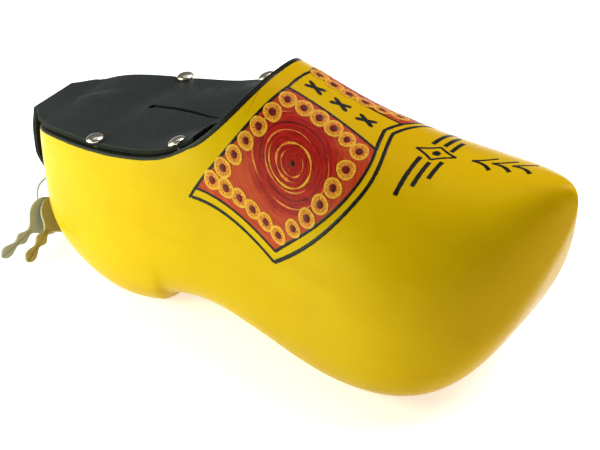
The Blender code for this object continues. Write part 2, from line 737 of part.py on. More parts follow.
make_case()
make_shackle()
make_plug()
lock_box("latch_bolt", *LATCH, BRASS)     # drawn back clear of the shackle notch
make_spring()

# ================================================================ wire ring
RING_AXIS = unit(RING_N)
RING_U = unit(np.cross(RING_AXIS, [0, 0, 1.0]))
RING_V = np.cross(RING_AXIS, RING_U)


def ring_pt(a):
    return np.array(RING_C) + RING_R * (RING_U * math.cos(a) + RING_V * math.sin(a))


def make_ring():
    bag = Bag()
    tube(bag, [ring_pt(2 * math.pi * k / 30) for k in range(30)], RING_WIRE, 6, closed=True)
    build("key_ring", bag, STEEL)


make_ring()


# ================================================================ keys
def key_outline():
    """Right-hand half of the outline from bow top to blade tip (x across, y towards the tip)."""
    turns = np.radians(np.linspace(0, 150, 13))
    pts = [(KEY_BOW_R * math.sin(a), -KEY_BOW_R * math.cos(a)) for a in turns]
    y = pts[-1][1]
    pts += [(w, y + d) for d, w in BLADE]
    pts.append((BLADE_TIP, y + BLADE_LEN))
    return pts


def key(name, origin, along, normal, mat):
    """Flat key.  origin is the middle of the bow hole, along points to the blade tip."""
    a = unit(along)
    n = np.asarray(normal, float)
    n = unit(n - a * (n @ a))
    s = np.cross(a, n)
    half = key_outline()
    loop = half + [(-x, y) for x, y in half[::-1] if x > 1e-6]
    off = KEY_BOW_R - KEY_HOLE_R - KEY_RIM
    hole = [(x, y - off) for x, y in circle(KEY_HOLE_R, 12)]
    bm = bmesh.new()
    low = -KEY_T / 2
    edges = []
    for outline_pts in (loop, hole):
        ring = [bm.verts.new(world(origin + s * x + a * (y + off) + n * low)) for x, y in outline_pts]
        edges += [bm.edges.new((p, q)) for p, q in zip(ring, ring[1:] + ring[:1])]
    bmesh.ops.triangle_fill(bm, use_beauty=True, use_dissolve=False, edges=edges, normal=Vector(n))
    made = bmesh.ops.extrude_face_region(bm, geom=list(bm.faces))["geom"]
    moved = [v for v in made if isinstance(v, bmesh.types.BMVert)]
    bmesh.ops.translate(bm, verts=moved, vec=Vector(n * KEY_T * MM))
    bmesh.ops.recalc_face_normals(bm, faces=bm.faces)
    me = bpy.data.meshes.new(name)
    bm.to_mesh(me)
    bm.free()
    me.materials.append(mat)
    ob = bpy.data.objects.new(name, me)
    bpy.context.scene.collection.objects.link(ob)


key("key_1", ring_pt(KEYS_ON_RING[0]), *KEY_1_LIE, KEY_GREY)
key("key_2", ring_pt(KEYS_ON_RING[1]), *KEY_2_LIE, KEY_BRASS)
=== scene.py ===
"""Looks of the wooden clog money box: lacquered wood with folk painting, leathercloth cover, brass padlock,
wire ring and keys.

Lengths are in millimetres in shoe coordinates (x = 0 at the back of the heel, toe towards +x, z = 0 on
the floor), as in the CAD.  world() moves them into the frame, in metres.  Painting is laid out on the skin
in (x, g): x along the shoe and g the girth distance from the crest line, positive to the shoe's left.
"""
import bpy
import bmesh
import functools
import numpy as np
from math import acos, atan2, copysign, cos, exp, hypot, pi, radians, sin, sqrt
from mathutils import Matrix, Vector

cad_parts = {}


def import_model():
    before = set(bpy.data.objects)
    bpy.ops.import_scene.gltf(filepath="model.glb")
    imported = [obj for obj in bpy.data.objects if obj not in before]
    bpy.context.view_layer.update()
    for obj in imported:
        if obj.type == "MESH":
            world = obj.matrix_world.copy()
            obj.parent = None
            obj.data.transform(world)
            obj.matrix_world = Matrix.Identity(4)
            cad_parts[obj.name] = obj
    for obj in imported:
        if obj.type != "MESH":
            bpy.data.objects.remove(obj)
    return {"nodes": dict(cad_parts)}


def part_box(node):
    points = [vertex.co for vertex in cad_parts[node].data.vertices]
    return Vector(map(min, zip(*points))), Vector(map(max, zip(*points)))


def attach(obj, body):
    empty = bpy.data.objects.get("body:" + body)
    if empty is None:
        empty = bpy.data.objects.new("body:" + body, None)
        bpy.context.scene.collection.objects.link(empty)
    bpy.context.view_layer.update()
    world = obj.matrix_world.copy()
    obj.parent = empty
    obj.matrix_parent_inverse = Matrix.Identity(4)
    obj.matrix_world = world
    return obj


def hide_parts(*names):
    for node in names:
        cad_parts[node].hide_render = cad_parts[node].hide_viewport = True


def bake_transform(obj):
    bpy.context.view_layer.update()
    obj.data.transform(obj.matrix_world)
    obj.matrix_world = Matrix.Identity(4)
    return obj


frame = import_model()
SCENE = bpy.context.scene
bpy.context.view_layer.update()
MM = 0.001
CLOG_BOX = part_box("clog_body")
HEEL_X = round(-CLOG_BOX[0].x / MM, 1)                 # shoe x of the frame's origin
LENGTH = round((CLOG_BOX[1].x - CLOG_BOX[0].x) / MM)   # heel back to toe tip
RNG = np.random.default_rng(7)

# ---- clog shape, as in the CAD
PHI_KNOTS = np.radians([0, 18, 38, 60, 82, 100, 118, 138, 158, 180])   # x = L/2 (1 - cos phi)
HALF_WIDTH = [0, 16.5, 25.2, 30.2, 30.8, 32.5, 36.5, 31.0, 13.0, 0]
KEEL = [36, 12.5, 0.5, -4.0, 4.0, -3.0, -2.5, 10.0, 42.0, 73]
CREST = [36, 66, 82, 89, 92.2, 83.2, 77, 77, 79, 73]
WIDEST = ([0, 60, 130, 200], [0.60, 0.46, 0.40, 0.28])
TOP_EXP = (2.25, 2.3)
SOLE_EXP = (5.0, 3.8)
ARCH_STEP = 3.5
RIM_X = [3, 14, 32, 52, 72, 88]
RIM_Z = [50.5, 54.0, 56.5, 59.5, 66.0, 79.5]
THROAT = (97.0, 92.6)
RIM_ROUND = 0.8
WALL, FLOOR, ROOF = 6.2, 11.0, 7.0
CAVITY = (6.5, 178.0)

# ---- leathercloth, as in the CAD
SHEET_T, SHEET_GAP = 1.8, 0.45
FOLD_X, STRAP_FOLD_X = 33.0, -0.9
INSET, SHOULDER_X = 1.2, 79.5
SLIT = (43.0, 71.0, 1.7)
SLIT_HOLE_R = 1.5
TACKS = ((38.2, 25.3), (73.0, 25.6))
STRAP_HALF, STRAP_T, BEND_R = 10.4, 1.8, 2.1
STRAP_BULGE = ((50.5, -3.3), (47.5, -4.0), (43.8, -4.5), (38.5, -4.6), (33.0, -4.55), (23.0, -4.5))
STRAP_END = (19.6, -4.5)
STRAP_SLOT = (25.0, 43.8, 1.75)
LOCK_HOLE = (23.0, 27.6, 3.4)
LOCK_Y = 1.5

# ---- metal parts, as in the CAD
TACK_HEAD_R, TACK_DOME, TACK_SHANK_R, TACK_LEN = 3.1, 1.7, 0.8, 9.0
STAPLE_Z, STAPLE_R, STAPLE_OUT = (36.0, 42.0), 0.9, -9.3
LOCK_YAW = radians(42)
LOCK_W, LOCK_T, LOCK_Z = 13.0, 6.5, (4.1, 15.0)
SHACKLE_R, SHACKLE_HALF, CROWN_Z = 1.1, 4.3, 21.0
PLUG_R, PLUG_Z = 2.4, (4.3, 9.4)
RING_R, RING_WIRE = 6.655, 0.42
RING_N, RING_C = (0.195, -0.596, 0.779), (-3.348, -4.582, 14.793)
KEYS_ON_RING = (1.791, 2.364)
KEY_BOW_R, KEY_T, KEY_HOLE_R, KEY_BLADE = 7.0, 1.1, 2.1, 17.0
KEY_RIM = 1.0                  # metal left between the hole and the bow's edge
KEY_BRUSH = (0.15, 1, 1)       # scratches run along x
KEY_1_LIE = ((-0.147, -0.945, -0.294), (0.862, -0.268, 0.430))
KEY_2_LIE = ((0.111, -0.934, -0.341), (0.777, -0.132, 0.615))

# ---- painting, (x, g) on the skin
PANEL_REAR = [(82.5, 51.0), (92.0, 34.5), (99.0, 18.5), (102.5, 5.5)]     # near panel, g towards its own side
PANEL_FRONT = [(137.0, 9.5), (137.4, 22.5), (130.2, 36.8), (113.6, 56.3)]
PANEL_LOW = [(82.5, 51.0), (98.5, 52.0), (113.6, 56.3)]
STRIP_NEAR = [(102.5, 5.5), (119.0, 5.6), (137.0, 9.5)]
STRIP_FAR = [(102.5, 8.0), (119.0, 7.5), (136.5, 7.5)]
PANEL_TAIL = [(80.2, 55.2), (81.4, 53.0)]           # rear outline runs on down to the border
VEE_X = 134.5                                       # tip of the inner V on the crest line
BORDER_FRONT = [(137.4, 0), (140.0, 10.0), (141.0, 20.0), (137.3, 31.0), (128.5, 44.2), (113.2, 60.5)]
BORDER_LOW = [(81.2, 54.7), (97.5, 55.4), (113.2, 60.5)]
LINE_W, BORDER_W = 0.95, 1.2
RIM_PAINT_AND_SHADOW_W, THROAT_BAND = 0.30, 1.6                   # black edge: thin round the heel, a band up the throat; the thin line is partly black paint on the rim, partly painted shadow of the gap under the cover's edge
RING_CORNERS = [(105.0, 9.5), (88.7, 45.7), (114.5, 50.0), (132.9, 12.8)]
RING_SIDES = ((6, 1.4), (5, 1.1), (6, -4.3), (5, -1.9))         # rings started on each side, bow
PANEL_RING_R, RAYS = 2.85, 17
SPIRAL_AT = (115.0, 26.4)
CROSSES = ((108.6, 1.1), (118.1, 0.7), (127.8, 0.1))
CROSS, CROSS_W = (3.1, 1.6), 1.45                   # half size and stroke of a cross
DIAMOND_AT, DIAMOND = (153.0, -0.7), (6.4, 3.9)
BARS = ((150.0, 4.6, 20.6), (153.6, 5.6, 16.0), (156.9, 3.6, 11.6))
CHEVRONS = ((164.3, 1.2), (170.4, 2.4), (176.6, 3.5))
PAINT = 0.05                   # thickness of one coat


# ==== numbers
def smooth(u):
    u = np.clip(u, 0.0, 1.0)
    return u * u * (3 - 2 * u)


def spline(xk, yk, x):
    """Cubic spline, not-a-knot ends."""
    xk, yk, x = (np.asarray(v, float) for v in (xk, yk, x))
    n = len(xk)
    h = np.diff(xk)
    A = np.zeros((n, n))
    r = np.zeros(n)
    A[0, :3] = [h[1], -(h[0] + h[1]), h[0]]
    A[-1, -3:] = [h[-1], -(h[-2] + h[-1]), h[-2]]
    for i in range(1, n - 1):
        A[i, i - 1:i + 2] = [h[i - 1], 2 * (h[i - 1] + h[i]), h[i]]
        r[i] = 6 * ((yk[i + 1] - yk[i]) / h[i] - (yk[i] - yk[i - 1]) / h[i - 1])
    m = np.linalg.solve(A, r)
    k = np.clip(np.searchsorted(xk, x, side="right") - 1, 0, n - 2)
    a = (xk[k + 1] - x) / h[k]
    b = (x - xk[k]) / h[k]
    cube = (a ** 3 - a) * m[k] + (b ** 3 - b) * m[k + 1]
    return a * yk[k] + b * yk[k + 1] + cube * h[k] ** 2 / 6


def along(p):
    """Distance along a polyline at each of its points."""
    return np.concatenate([[0], np.cumsum(np.linalg.norm(np.diff(p, axis=0), axis=1))])


def resample(p, t):
    """Points of a flat polyline at distances t along it."""
    k = along(p)
    return np.stack([np.interp(t, k, p[:, i]) for i in (0, 1)], 1)


def leftward(d):
    """Unit vectors a quarter turn to the left of flat directions."""
    d = d / np.maximum(np.linalg.norm(d, axis=1), 1e-9)[:, None]
    return np.stack([-d[:, 1], d[:, 0]], 1)


def arc(cx, cy, r, a0, a1, n):
    """n points of a circle from angle a0 to a1, in degrees."""
    return [(cx + r * cos(a), cy + r * sin(a)) for a in np.radians(np.linspace(a0, a1, n))]


def bisect(f, a, b):
    above = f(a) > 0
    for _ in range(60):
        c = 0.5 * (a + b)
        a, b = (c, b) if (f(c) > 0) == above else (a, c)
    return 0.5 * (a + b)


def unit(v):
    v = np.asarray(v, float)
    return v / np.linalg.norm(v)


# ==== clog skin
def outer_curves(x):
    """Half width, keel, crest, widest height and the two exponents at station x."""
    p = np.arccos(np.clip(1 - 2 * np.asarray(x, float) / LENGTH, -1, 1))
    w = np.maximum(spline(PHI_KNOTS, HALF_WIDTH, p), 0.0)
    b = spline(PHI_KNOTS, KEEL, p)
    b = b + ARCH_STEP * smooth((x - 60) / 5) * (1 - smooth((x - 66) / 34))
    t = spline(PHI_KNOTS, CREST, p)
    b = np.minimum(b, t)
    zm = b + (t - b) * spline(WIDEST[0], WIDEST[1], x)
    s = x / LENGTH
    return w, b, t, zm, TOP_EXP[0] * (1 - s) + TOP_EXP[1] * s, SOLE_EXP[0] * (1 - s) + SOLE_EXP[1] * s


def inner_curves(x):
    w, b, t, zm, nt, nb = outer_curves(x)
    x0, x1 = CAVITY
    c = np.clip((2 * x - x0 - x1) / (x1 - x0), -1, 1)
    e = (1 - np.abs(c) ** 2.8) ** (1 / 2.8)
    lo = max(b, 0.0) + FLOOR
    hi = t - ROOF
    zc = 0.5 * (lo + hi)
    lo = zc - (zc - lo) * e
    hi = zc + (hi - zc) * e
    return max(w - WALL, 0.0) * e, lo, hi, lo + (hi - lo) * 0.45, 2.3, 2.6


def rim_z(x):
    return spline(RIM_X + [THROAT[0]], RIM_Z + [THROAT[1]], np.clip(x, -2.0, THROAT[0] + 3))


def half_at(curves, x, z):
    """Half width of the section at height z (upper half)."""
    w, b, t, zm, nt, nb = curves(x)
    if z <= zm:
        return float(w)
    q = min(max((z - zm) / max(t - zm, 1e-9), 0.0), 1.0)
    return float(w * (1 - q ** nt) ** (1 / nt))


def section(curves, x, n, z_cut=None, flat=True):
    """n + 1 points (y, z) from the keel up to the crest or to height z_cut, evenly spaced."""
    w, b, t, zm, nt, nb = curves(x)
    a = np.linspace(0, pi / 2, 160)
    y = np.concatenate([w * np.sin(a) ** (2 / nb), w * np.cos(a[1:]) ** (2 / nt)])
    z = np.concatenate([zm - (zm - b) * np.cos(a) ** (2 / nb), zm + (t - zm) * np.sin(a[1:]) ** (2 / nt)])
    y[-1] = 0.0
    if z_cut is not None:
        keep = z < z_cut - 1e-6
        y = np.append(y[keep], half_at(curves, x, z_cut))
        z = np.append(z[keep], min(z_cut, t))
    if flat:
        z = np.maximum(z, 0.0)
    p = np.stack([y, z], 1)
    return resample(p, np.linspace(0, along(p)[-1], n + 1))


def mouth_ends(curves, lo, hi):
    """x where the crest curve crosses the rim profile at the heel and at the throat."""
    gap = lambda x: curves(x)[2] - (rim_z(x) - RIM_ROUND)
    return bisect(gap, lo, 40.0), bisect(gap, 60.0, hi)


XH, XT = mouth_ends(outer_curves, 0.01, 130.0)
XHI, XTI = mouth_ends(inner_curves, CAVITY[0] + 0.01, 130.0)


# ==== meshes
class Bag:
    """Growing list of vertices and faces with a material slot for each face."""

    def __init__(self):
        self.v, self.f, self.m = [], [], []
        self.slot = 0

    def add(self, pts):
        i = len(self.v)
        self.v.extend([tuple(float(c) for c in p) for p in pts])
        return list(range(i, i + len(pts)))

    def face(self, idx):
        q = list(dict.fromkeys(idx))
        if len(q) > 2:
            self.f.append(tuple(q))
            self.m.append(self.slot)

    def loft(self, rows, closed=True, caps=False, flip=False):
        """Faces between neighbouring rows; rows may close on themselves and the ends may be capped."""
        for lo, hi in zip(rows[:-1], rows[1:]):
            a, b = lo + lo[:1] * closed, hi + hi[:1] * closed
            for q in zip(a, a[1:], b[1:], b):
                self.face(q[::-1] if flip else q)
        if caps:
            self.face(rows[0])
            self.face(rows[-1])


def world(p):
    return Vector(((p[0] - HEEL_X) * MM, p[1] * MM, p[2] * MM))


def edit(me, work):
    """Let work change the mesh as a bmesh."""
    bm = bmesh.new()
    bm.from_mesh(me)
    work(bm)
    bm.to_mesh(me)
    bm.free()


def new_object(name, data):
    ob = bpy.data.objects.new(name, data)
    SCENE.collection.objects.link(ob)
    return ob


def build(name, bag, mats, weld=0.002, sharp=40.0, outward=True):
    """Mesh object in the frame, smooth shaded apart from edges sharper than the given angle."""
    me = bpy.data.meshes.new(name)
    me.from_pydata([world(p) for p in bag.v], [], bag.f)
    me.polygons.foreach_set("material_index", bag.m)

    def clean(bm):
        if weld:
            bmesh.ops.remove_doubles(bm, verts=bm.verts, dist=weld * MM)
            bmesh.ops.dissolve_degenerate(bm, edges=bm.edges, dist=1e-7)
        if outward:
            bmesh.ops.recalc_face_normals(bm, faces=bm.faces)

    edit(me, clean)
    for m in mats if isinstance(mats, (list, tuple)) else [mats]:
        me.materials.append(m)
    shade(me, sharp)
    return new_object(name, me)


def shade(me, sharp):
    """Smooth faces, with sharp edges above the angle."""
    def mark(bm):
        for f in bm.faces:
            f.smooth = True
        for e in bm.edges:
            e.smooth = not (len(e.link_faces) == 2 and e.calc_face_angle(0.0) > radians(sharp))

    edit(me, mark)


def cut(ob, cutters, sharp=40.0, mat=None):
    """Subtract the cutter objects, then remove them; mat is the look of the cut faces."""
    for c in cutters:
        if mat:
            c.data.materials.append(MAT[mat])
        mod = ob.modifiers.new("cut", "BOOLEAN")
        mod.operation = "DIFFERENCE"
        mod.solver = "EXACT"
        mod.object = c
    bpy.context.view_layer.update()
    me = bpy.data.meshes.new_from_object(ob.evaluated_get(bpy.context.evaluated_depsgraph_get()))
    ob.modifiers.clear()
    old = ob.data
    ob.data = me
    bpy.data.meshes.remove(old)
    me.name = ob.name
    for c in cutters:
        bpy.data.objects.remove(c, do_unlink=True)
    shade(me, sharp)
    return ob


def lathe(name, profile, origin, axis, segs, mats=(), sharp=40.0):
    """Solid of revolution; profile is (radius, height) along the axis."""
    a, o = unit(axis), np.asarray(origin, float)
    hint = np.array([0, 0, 1.0] if abs(a[2]) <= 0.95 else [1.0, 0, 0])
    u = unit(np.cross(hint, a))
    v = np.cross(a, u)
    turn = [(cos(2 * pi * k / segs), sin(2 * pi * k / segs)) for k in range(segs)]
    b = Bag()
    circle = lambda r, h: b.add([o + a * h + r * (u * c + v * s) for c, s in turn])
    b.loft([b.add([o + a * h]) * segs if r < 1e-6 else circle(r, h) for r, h in profile])
    return build(name, b, mats, sharp=sharp)


def cylinder(origin, axis, r, h0, h1, segs=32):
    return lathe("cutter", [(0, h0), (r, h0), (r, h1), (0, h1)], origin, axis, segs)


def prism(pts, at, z0, z1):
    """Closed prism over the outline pts; at(p, q, z) places a point."""
    b = Bag()
    b.loft([b.add([at(p, q, z) for p, q in pts]) for z in (z0, z1)], caps=True)
    return build("cutter", b, ())


def tube(name, path, r, sides, mat, closed=False):
    """Round wire along a polyline; open ends are slightly rounded."""
    P = [np.asarray(p, float) for p in path]
    n = len(P)
    near = lambda i: P[i % n] if closed else P[min(max(i, 0), n - 1)]
    T = [unit(near(i + 1) - near(i - 1)) for i in range(n)]
    R = [r] * n
    if not closed:
        P = [P[0]] + P + [P[-1]]
        P[1] = P[0] + T[0] * r * 0.35
        P[-2] = P[-1] - T[-1] * r * 0.35
        T = [T[0]] + T + [T[-1]]
        R = [r * 0.72] + R + [r * 0.72]
        n += 2
    u = unit(np.cross(T[0], [0.3, 0.2, 1.0]))
    b = Bag()
    rows = []
    for i in range(n):
        u = unit(u - T[i] * (u @ T[i]))
        v = np.cross(T[i], u)
        ang = 2 * pi * np.arange(sides) / sides
        rows.append(b.add([P[i] + R[i] * (u * cos(a) + v * sin(a)) for a in ang]))
    if closed:
        first = rows[0]
        s = int(np.argmin([np.linalg.norm(np.subtract(b.v[rows[-1][0]], b.v[k])) for k in first]))
        rows.append(first[s:] + first[:s])
    b.loft(rows, caps=not closed)
    return build(name, b, MAT[mat])


# ==== materials
class Nodes:
    """Short way to wire a node material."""

    def __init__(self, name):
        self.mat = bpy.data.materials.new(name)
        self.mat.use_nodes = True
        self.tree = self.mat.node_tree
        self.bsdf = self.tree.nodes["Principled BSDF"]
        self.coord = self.new("TexCoord").outputs["Object"]

    def new(self, kind, inputs=(), **props):
        """Node with its inputs set or linked."""
        n = self.tree.nodes.new("ShaderNode" + kind)
        for k, v in props.items():
            setattr(n, k, v)
        for k, v in dict(inputs).items():
            self.put(n.inputs[k], v)
        return n

    def put(self, socket, value):
        if isinstance(value, bpy.types.NodeSocket):
            self.tree.links.new(value, socket)
        elif isinstance(value, tuple) and len(value) == 3 and socket.type == "RGBA":
            socket.default_value = (*value, 1)
        else:
            socket.default_value = value

    def math(self, op, a, b=0.0, c=0.0):
        return self.new("Math", {0: a, 1: b, 2: c}, operation=op).outputs[0]

    def scaled(self, x, y, z):
        """Coordinates in cycles per metre."""
        return self.new("Mapping", {"Vector": self.coord, "Scale": (x, y, z)}).outputs[0]

    def noise(self, scale, detail=3.0, rough=0.5, coord=None, distort=0.0):
        values = {"Vector": coord or self.coord, "Scale": scale, "Detail": detail, "Roughness": rough,
                  "Distortion": distort}
        return self.new("TexNoise", values).outputs["Fac"]

    def cells(self, scale, coord=None):
        values = {"Vector": coord or self.coord, "Scale": scale}
        return self.new("TexVoronoi", values).outputs["Distance"]

    def span(self, value, lo, hi, a=0.0, b=1.0):
        values = {"Value": value, "From Min": lo, "From Max": hi, "To Min": a, "To Max": b}
        return self.new("MapRange", values, interpolation_type="SMOOTHSTEP").outputs["Result"]

    def mix(self, fac, a, b):
        return self.new("Mix", data_type="RGBA", inputs={0: fac, 6: a, 7: b}).outputs[2]

    def attribute(self, name, vector=False):
        return self.new("Attribute", attribute_name=name).outputs["Vector" if vector else "Fac"]

    def bump(self, height, distance, strength=1.0, normal=None):
        values = {"Strength": strength, "Distance": distance, "Height": height}
        if normal is not None:
            values["Normal"] = normal
        return self.new("Bump", values).outputs["Normal"]

    def finish(self, **inputs):
        for k, v in inputs.items():
            self.put(self.bsdf.inputs[k.replace("_", " ")], v)
        return self.mat


def lacquer():
    """Glossy yellow lacquer over wood, with a black line along the edge of the mouth: partly black paint on
    the rim, partly painted shadow of the gap under the cover's edge.
    """
    n = Nodes("lacquer_yellow")
    cloud = n.noise(22, 3, 0.55)
    tone = n.mix(n.span(cloud, 0.35, 0.65), (0.53, 0.310, 0.0008), (0.57, 0.345, 0.0012))
    streak = n.noise(60, 2, 0.5, n.scaled(0.35, 2.2, 2.2))
    tone = n.mix(n.span(streak, 0.55, 0.75, 0.0, 0.35), tone, (0.50, 0.285, 0.0008))
    wobble = n.math("MULTIPLY", n.math("SUBTRACT", n.noise(300, 2, 0.5), 0.5), 0.3)
    # black along the mouth's edge: black paint on the rim, and painted shadow where the cover's edge stands
    # over the rim
    black = n.span(n.math("ADD", n.attribute("rim_paint_and_shadow"), wobble), -0.10, 0.10, 1.0, 0.0)
    colour = n.mix(black, tone, (0.010, 0.009, 0.008))
    peel = n.noise(420, 2, 0.5)
    normal = n.bump(peel, 0.00004, 0.55)
    normal = n.bump(streak, 0.00025, 0.25, normal)
    normal = n.bump(n.noise(38, 1, 0.4), 0.0012, 0.12, normal)
    rough = n.span(n.noise(90, 3, 0.6), 0.3, 0.7, 0.24, 0.34)
    return n.finish(Base_Color=colour, Roughness=rough, Normal=normal,
                    Coat_Weight=0.02, Coat_Roughness=0.12, Specular_IOR_Level=0.06,
                    Specular_Tint=(1, 0.85, 0.35))


def black_edge():
    n = Nodes("black_edge_paint")
    grain = n.noise(700, 3, 0.6, n.scaled(0.4, 1, 1))
    tone = n.mix(grain, (0.008, 0.007, 0.007), (0.020, 0.018, 0.016))
    return n.finish(Base_Color=tone, Roughness=0.45, Specular_IOR_Level=0.08,
                    Normal=n.bump(grain, 0.0001, 0.5))


def raw_wood():
    """Bare poplar inside the hollow, with gouge marks."""
    n = Nodes("raw_wood")
    rings = n.noise(40, 4, 0.6, n.scaled(0.5, 5, 5), 0.6)
    fibre = n.noise(260, 4, 0.7, n.scaled(0.12, 3, 3))
    tone = n.mix(n.span(rings, 0.3, 0.7), (0.62, 0.42, 0.22), (0.42, 0.25, 0.11))
    tone = n.mix(n.span(fibre, 0.45, 0.75, 0, 0.5), tone, (0.25, 0.14, 0.06))
    normal = n.bump(n.cells(120, coord=n.scaled(0.7, 1, 1)), 0.0006, 0.5)
    return n.finish(Base_Color=tone, Roughness=0.75, Normal=n.bump(fibre, 0.0001, 0.5, normal))


def leathercloth():
    """Charcoal leathercloth: fine pebble grain, soft sheen, faint wear."""
    n = Nodes("leathercloth")
    warp = n.noise(260, 2, 0.5)
    pebble = n.cells(1500)
    cloud = n.noise(30, 3, 0.55)
    tone = n.mix(n.span(cloud, 0.3, 0.7), (0.013, 0.0145, 0.0155), (0.019, 0.021, 0.022))
    tone = n.mix(n.span(pebble, 0.35, 0.75, 0.0, 0.25), tone, (0.036, 0.040, 0.042))
    normal = n.bump(pebble, 0.00007, 0.5)
    normal = n.bump(warp, 0.00022, 0.35, normal)
    normal = n.bump(n.noise(55, 2, 0.5), 0.0010, 0.15, normal)
    rough = n.span(n.noise(140, 3, 0.6), 0.3, 0.7, 0.46, 0.58)
    return n.finish(Base_Color=tone, Roughness=rough, Normal=normal, Specular_IOR_Level=0.22)


def cut_edge():
    """Cloth backing that shows at the sheet's cut edges and underside."""
    n = Nodes("leathercloth_backing")
    weave = n.math("MULTIPLY", n.math("SINE", n.math("MULTIPLY", n.noise(900, 2), 30.0)), 0.5)
    tone = n.mix(n.noise(900, 3, 0.7), (0.006, 0.006, 0.006), (0.016, 0.015, 0.015))
    return n.finish(Base_Color=tone, Roughness=0.85, Specular_IOR_Level=0.1,
                    Normal=n.bump(weave, 0.00015, 0.5))


def metal(name, light, dark, rough, scratch=(1.0, 1.0, 1.0), stain=0.4, metallic=1.0):
    """Bare or plated metal with fine scratches and tarnish."""
    n = Nodes(name)
    stains = n.noise(170, 4, 0.65)
    tone = n.mix(n.span(stains, 0.45, 0.8, 0.0, stain), light, dark)
    lines = n.noise(1800, 3, 0.7, n.scaled(*scratch))
    normal = n.bump(lines, 0.00002, 0.45)
    normal = n.bump(n.noise(420, 2, 0.5), 0.00006, 0.25, normal)
    r = n.span(stains, 0.3, 0.75, rough - 0.05, rough + 0.14)
    return n.finish(Base_Color=tone, Metallic=metallic, Roughness=r, Normal=normal)


def paint(name, light, dark, rough=0.34, scale=500, stretch=(1, 1, 1), relief=0.00006):
    """Brushed enamel with uneven cover."""
    n = Nodes(name)
    brush = n.noise(scale, 4, 0.65, n.scaled(*stretch))
    tone = n.mix(n.span(brush, 0.3, 0.7), dark, light)
    return n.finish(Base_Color=tone, Roughness=rough, Normal=n.bump(brush, relief, 0.6),
                    Specular_IOR_Level=0.12)


def panel_red():
    """Red ground of a panel: strokes swirl round its middle, deep red inside, orange at the corners."""
    n = Nodes("panel_red")
    p = n.attribute("panel", vector=True)
    x, y, _ = n.new("SeparateXYZ", {0: p}).outputs
    r = n.math("SQRT", n.math("ADD", n.math("MULTIPLY", x, x), n.math("MULTIPLY", y, y)))
    a = n.math("ARCTAN2", y, x)
    turn = [n.math("MULTIPLY", n.math(op, a), 1.3) for op in ("SINE", "COSINE")]
    polar = n.new("CombineXYZ", {0: r, 1: turn[0], 2: turn[1]}).outputs[0]
    sweep = n.noise(1.5, 4, 0.7, polar)
    fine = n.noise(4.5, 4, 0.7, polar)
    blot = n.noise(0.22, 3, 0.5, p)
    edge = n.math("ADD", r, n.math("MULTIPLY", n.math("SUBTRACT", blot, 0.5), 9.0))
    deep = n.mix(n.span(sweep, 0.35, 0.68), (0.22, 0.005, 0.004), (0.42, 0.014, 0.008))
    warm = n.mix(n.span(sweep, 0.35, 0.65), (0.34, 0.022, 0.006), (0.46, 0.055, 0.012))
    tone = n.mix(n.span(edge, 14.0, 18.5), deep, warm)
    tone = n.mix(n.span(fine, 0.60, 0.72, 0.0, 0.38), tone, (0.55, 0.13, 0.035))
    return n.finish(Base_Color=tone, Roughness=0.38, Normal=n.bump(fine, 0.00012, 0.6),
                    Specular_IOR_Level=0.12)


def floor_finish():
    n = Nodes("pale_floor")
    return n.finish(Base_Color=n.mix(n.noise(6, 2), (0.84, 0.84, 0.84), (0.86, 0.86, 0.86)), Roughness=0.7,
                    Emission_Color=(1, 1, 1), Emission_Strength=0.56)


MAT = {
    "lacquer": lacquer(), "edge": black_edge(), "wood": raw_wood(), "leather": leathercloth(),
    "backing": cut_edge(), "red": panel_red(),
    "nickel": metal("tack_nickel", (0.72, 0.66, 0.54), (0.42, 0.36, 0.26), 0.24, stain=0.5),
    "wire": metal("bright_wire", (0.50, 0.53, 0.56), (0.34, 0.35, 0.37), 0.34, (0.2, 0.2, 1), metallic=0.6),
    "spring": metal("spring_steel", (0.45, 0.45, 0.47), (0.25, 0.24, 0.24), 0.32),
    "brass": metal("lock_brass", (0.72, 0.53, 0.24), (0.42, 0.28, 0.12), 0.30, (1, 1, 0.08)),
    "plug": metal("plug_brass", (0.66, 0.50, 0.26), (0.40, 0.30, 0.16), 0.34),
    "key_grey": metal("key_steel", (0.44, 0.44, 0.42), (0.30, 0.30, 0.28), 0.42, KEY_BRUSH, metallic=0.35),
    "key_brass": metal("key_brass", (0.40, 0.34, 0.19), (0.26, 0.22, 0.12), 0.42, KEY_BRUSH, metallic=0.35),
    "black": paint("paint_black", (0.016, 0.014, 0.010), (0.006, 0.005, 0.004), 0.32),
    "orange": paint("paint_orange", (0.62, 0.14, 0.012), (0.42, 0.065, 0.008), 0.36, 900),
    "amber": paint("paint_amber", (0.70, 0.36, 0.030), (0.58, 0.25, 0.018), 0.36, 900),
    "maroon": paint("paint_maroon", (0.16, 0.012, 0.008), (0.055, 0.006, 0.005), 0.36, 900),
    "swirl": paint("paint_swirl", (0.72, 0.26, 0.05), (0.52, 0.10, 0.02), 0.36, 700),
    "floor": floor_finish(),
}


# ==== clog
def spread(a, b, n, p=1.0):
    """n + 1 values from a to b, closer together at both ends."""
    u = np.linspace(0, 1, n + 1)
    return a + (b - a) * (u * (1 - p) + p * (1 - np.cos(pi * u)) / 2)


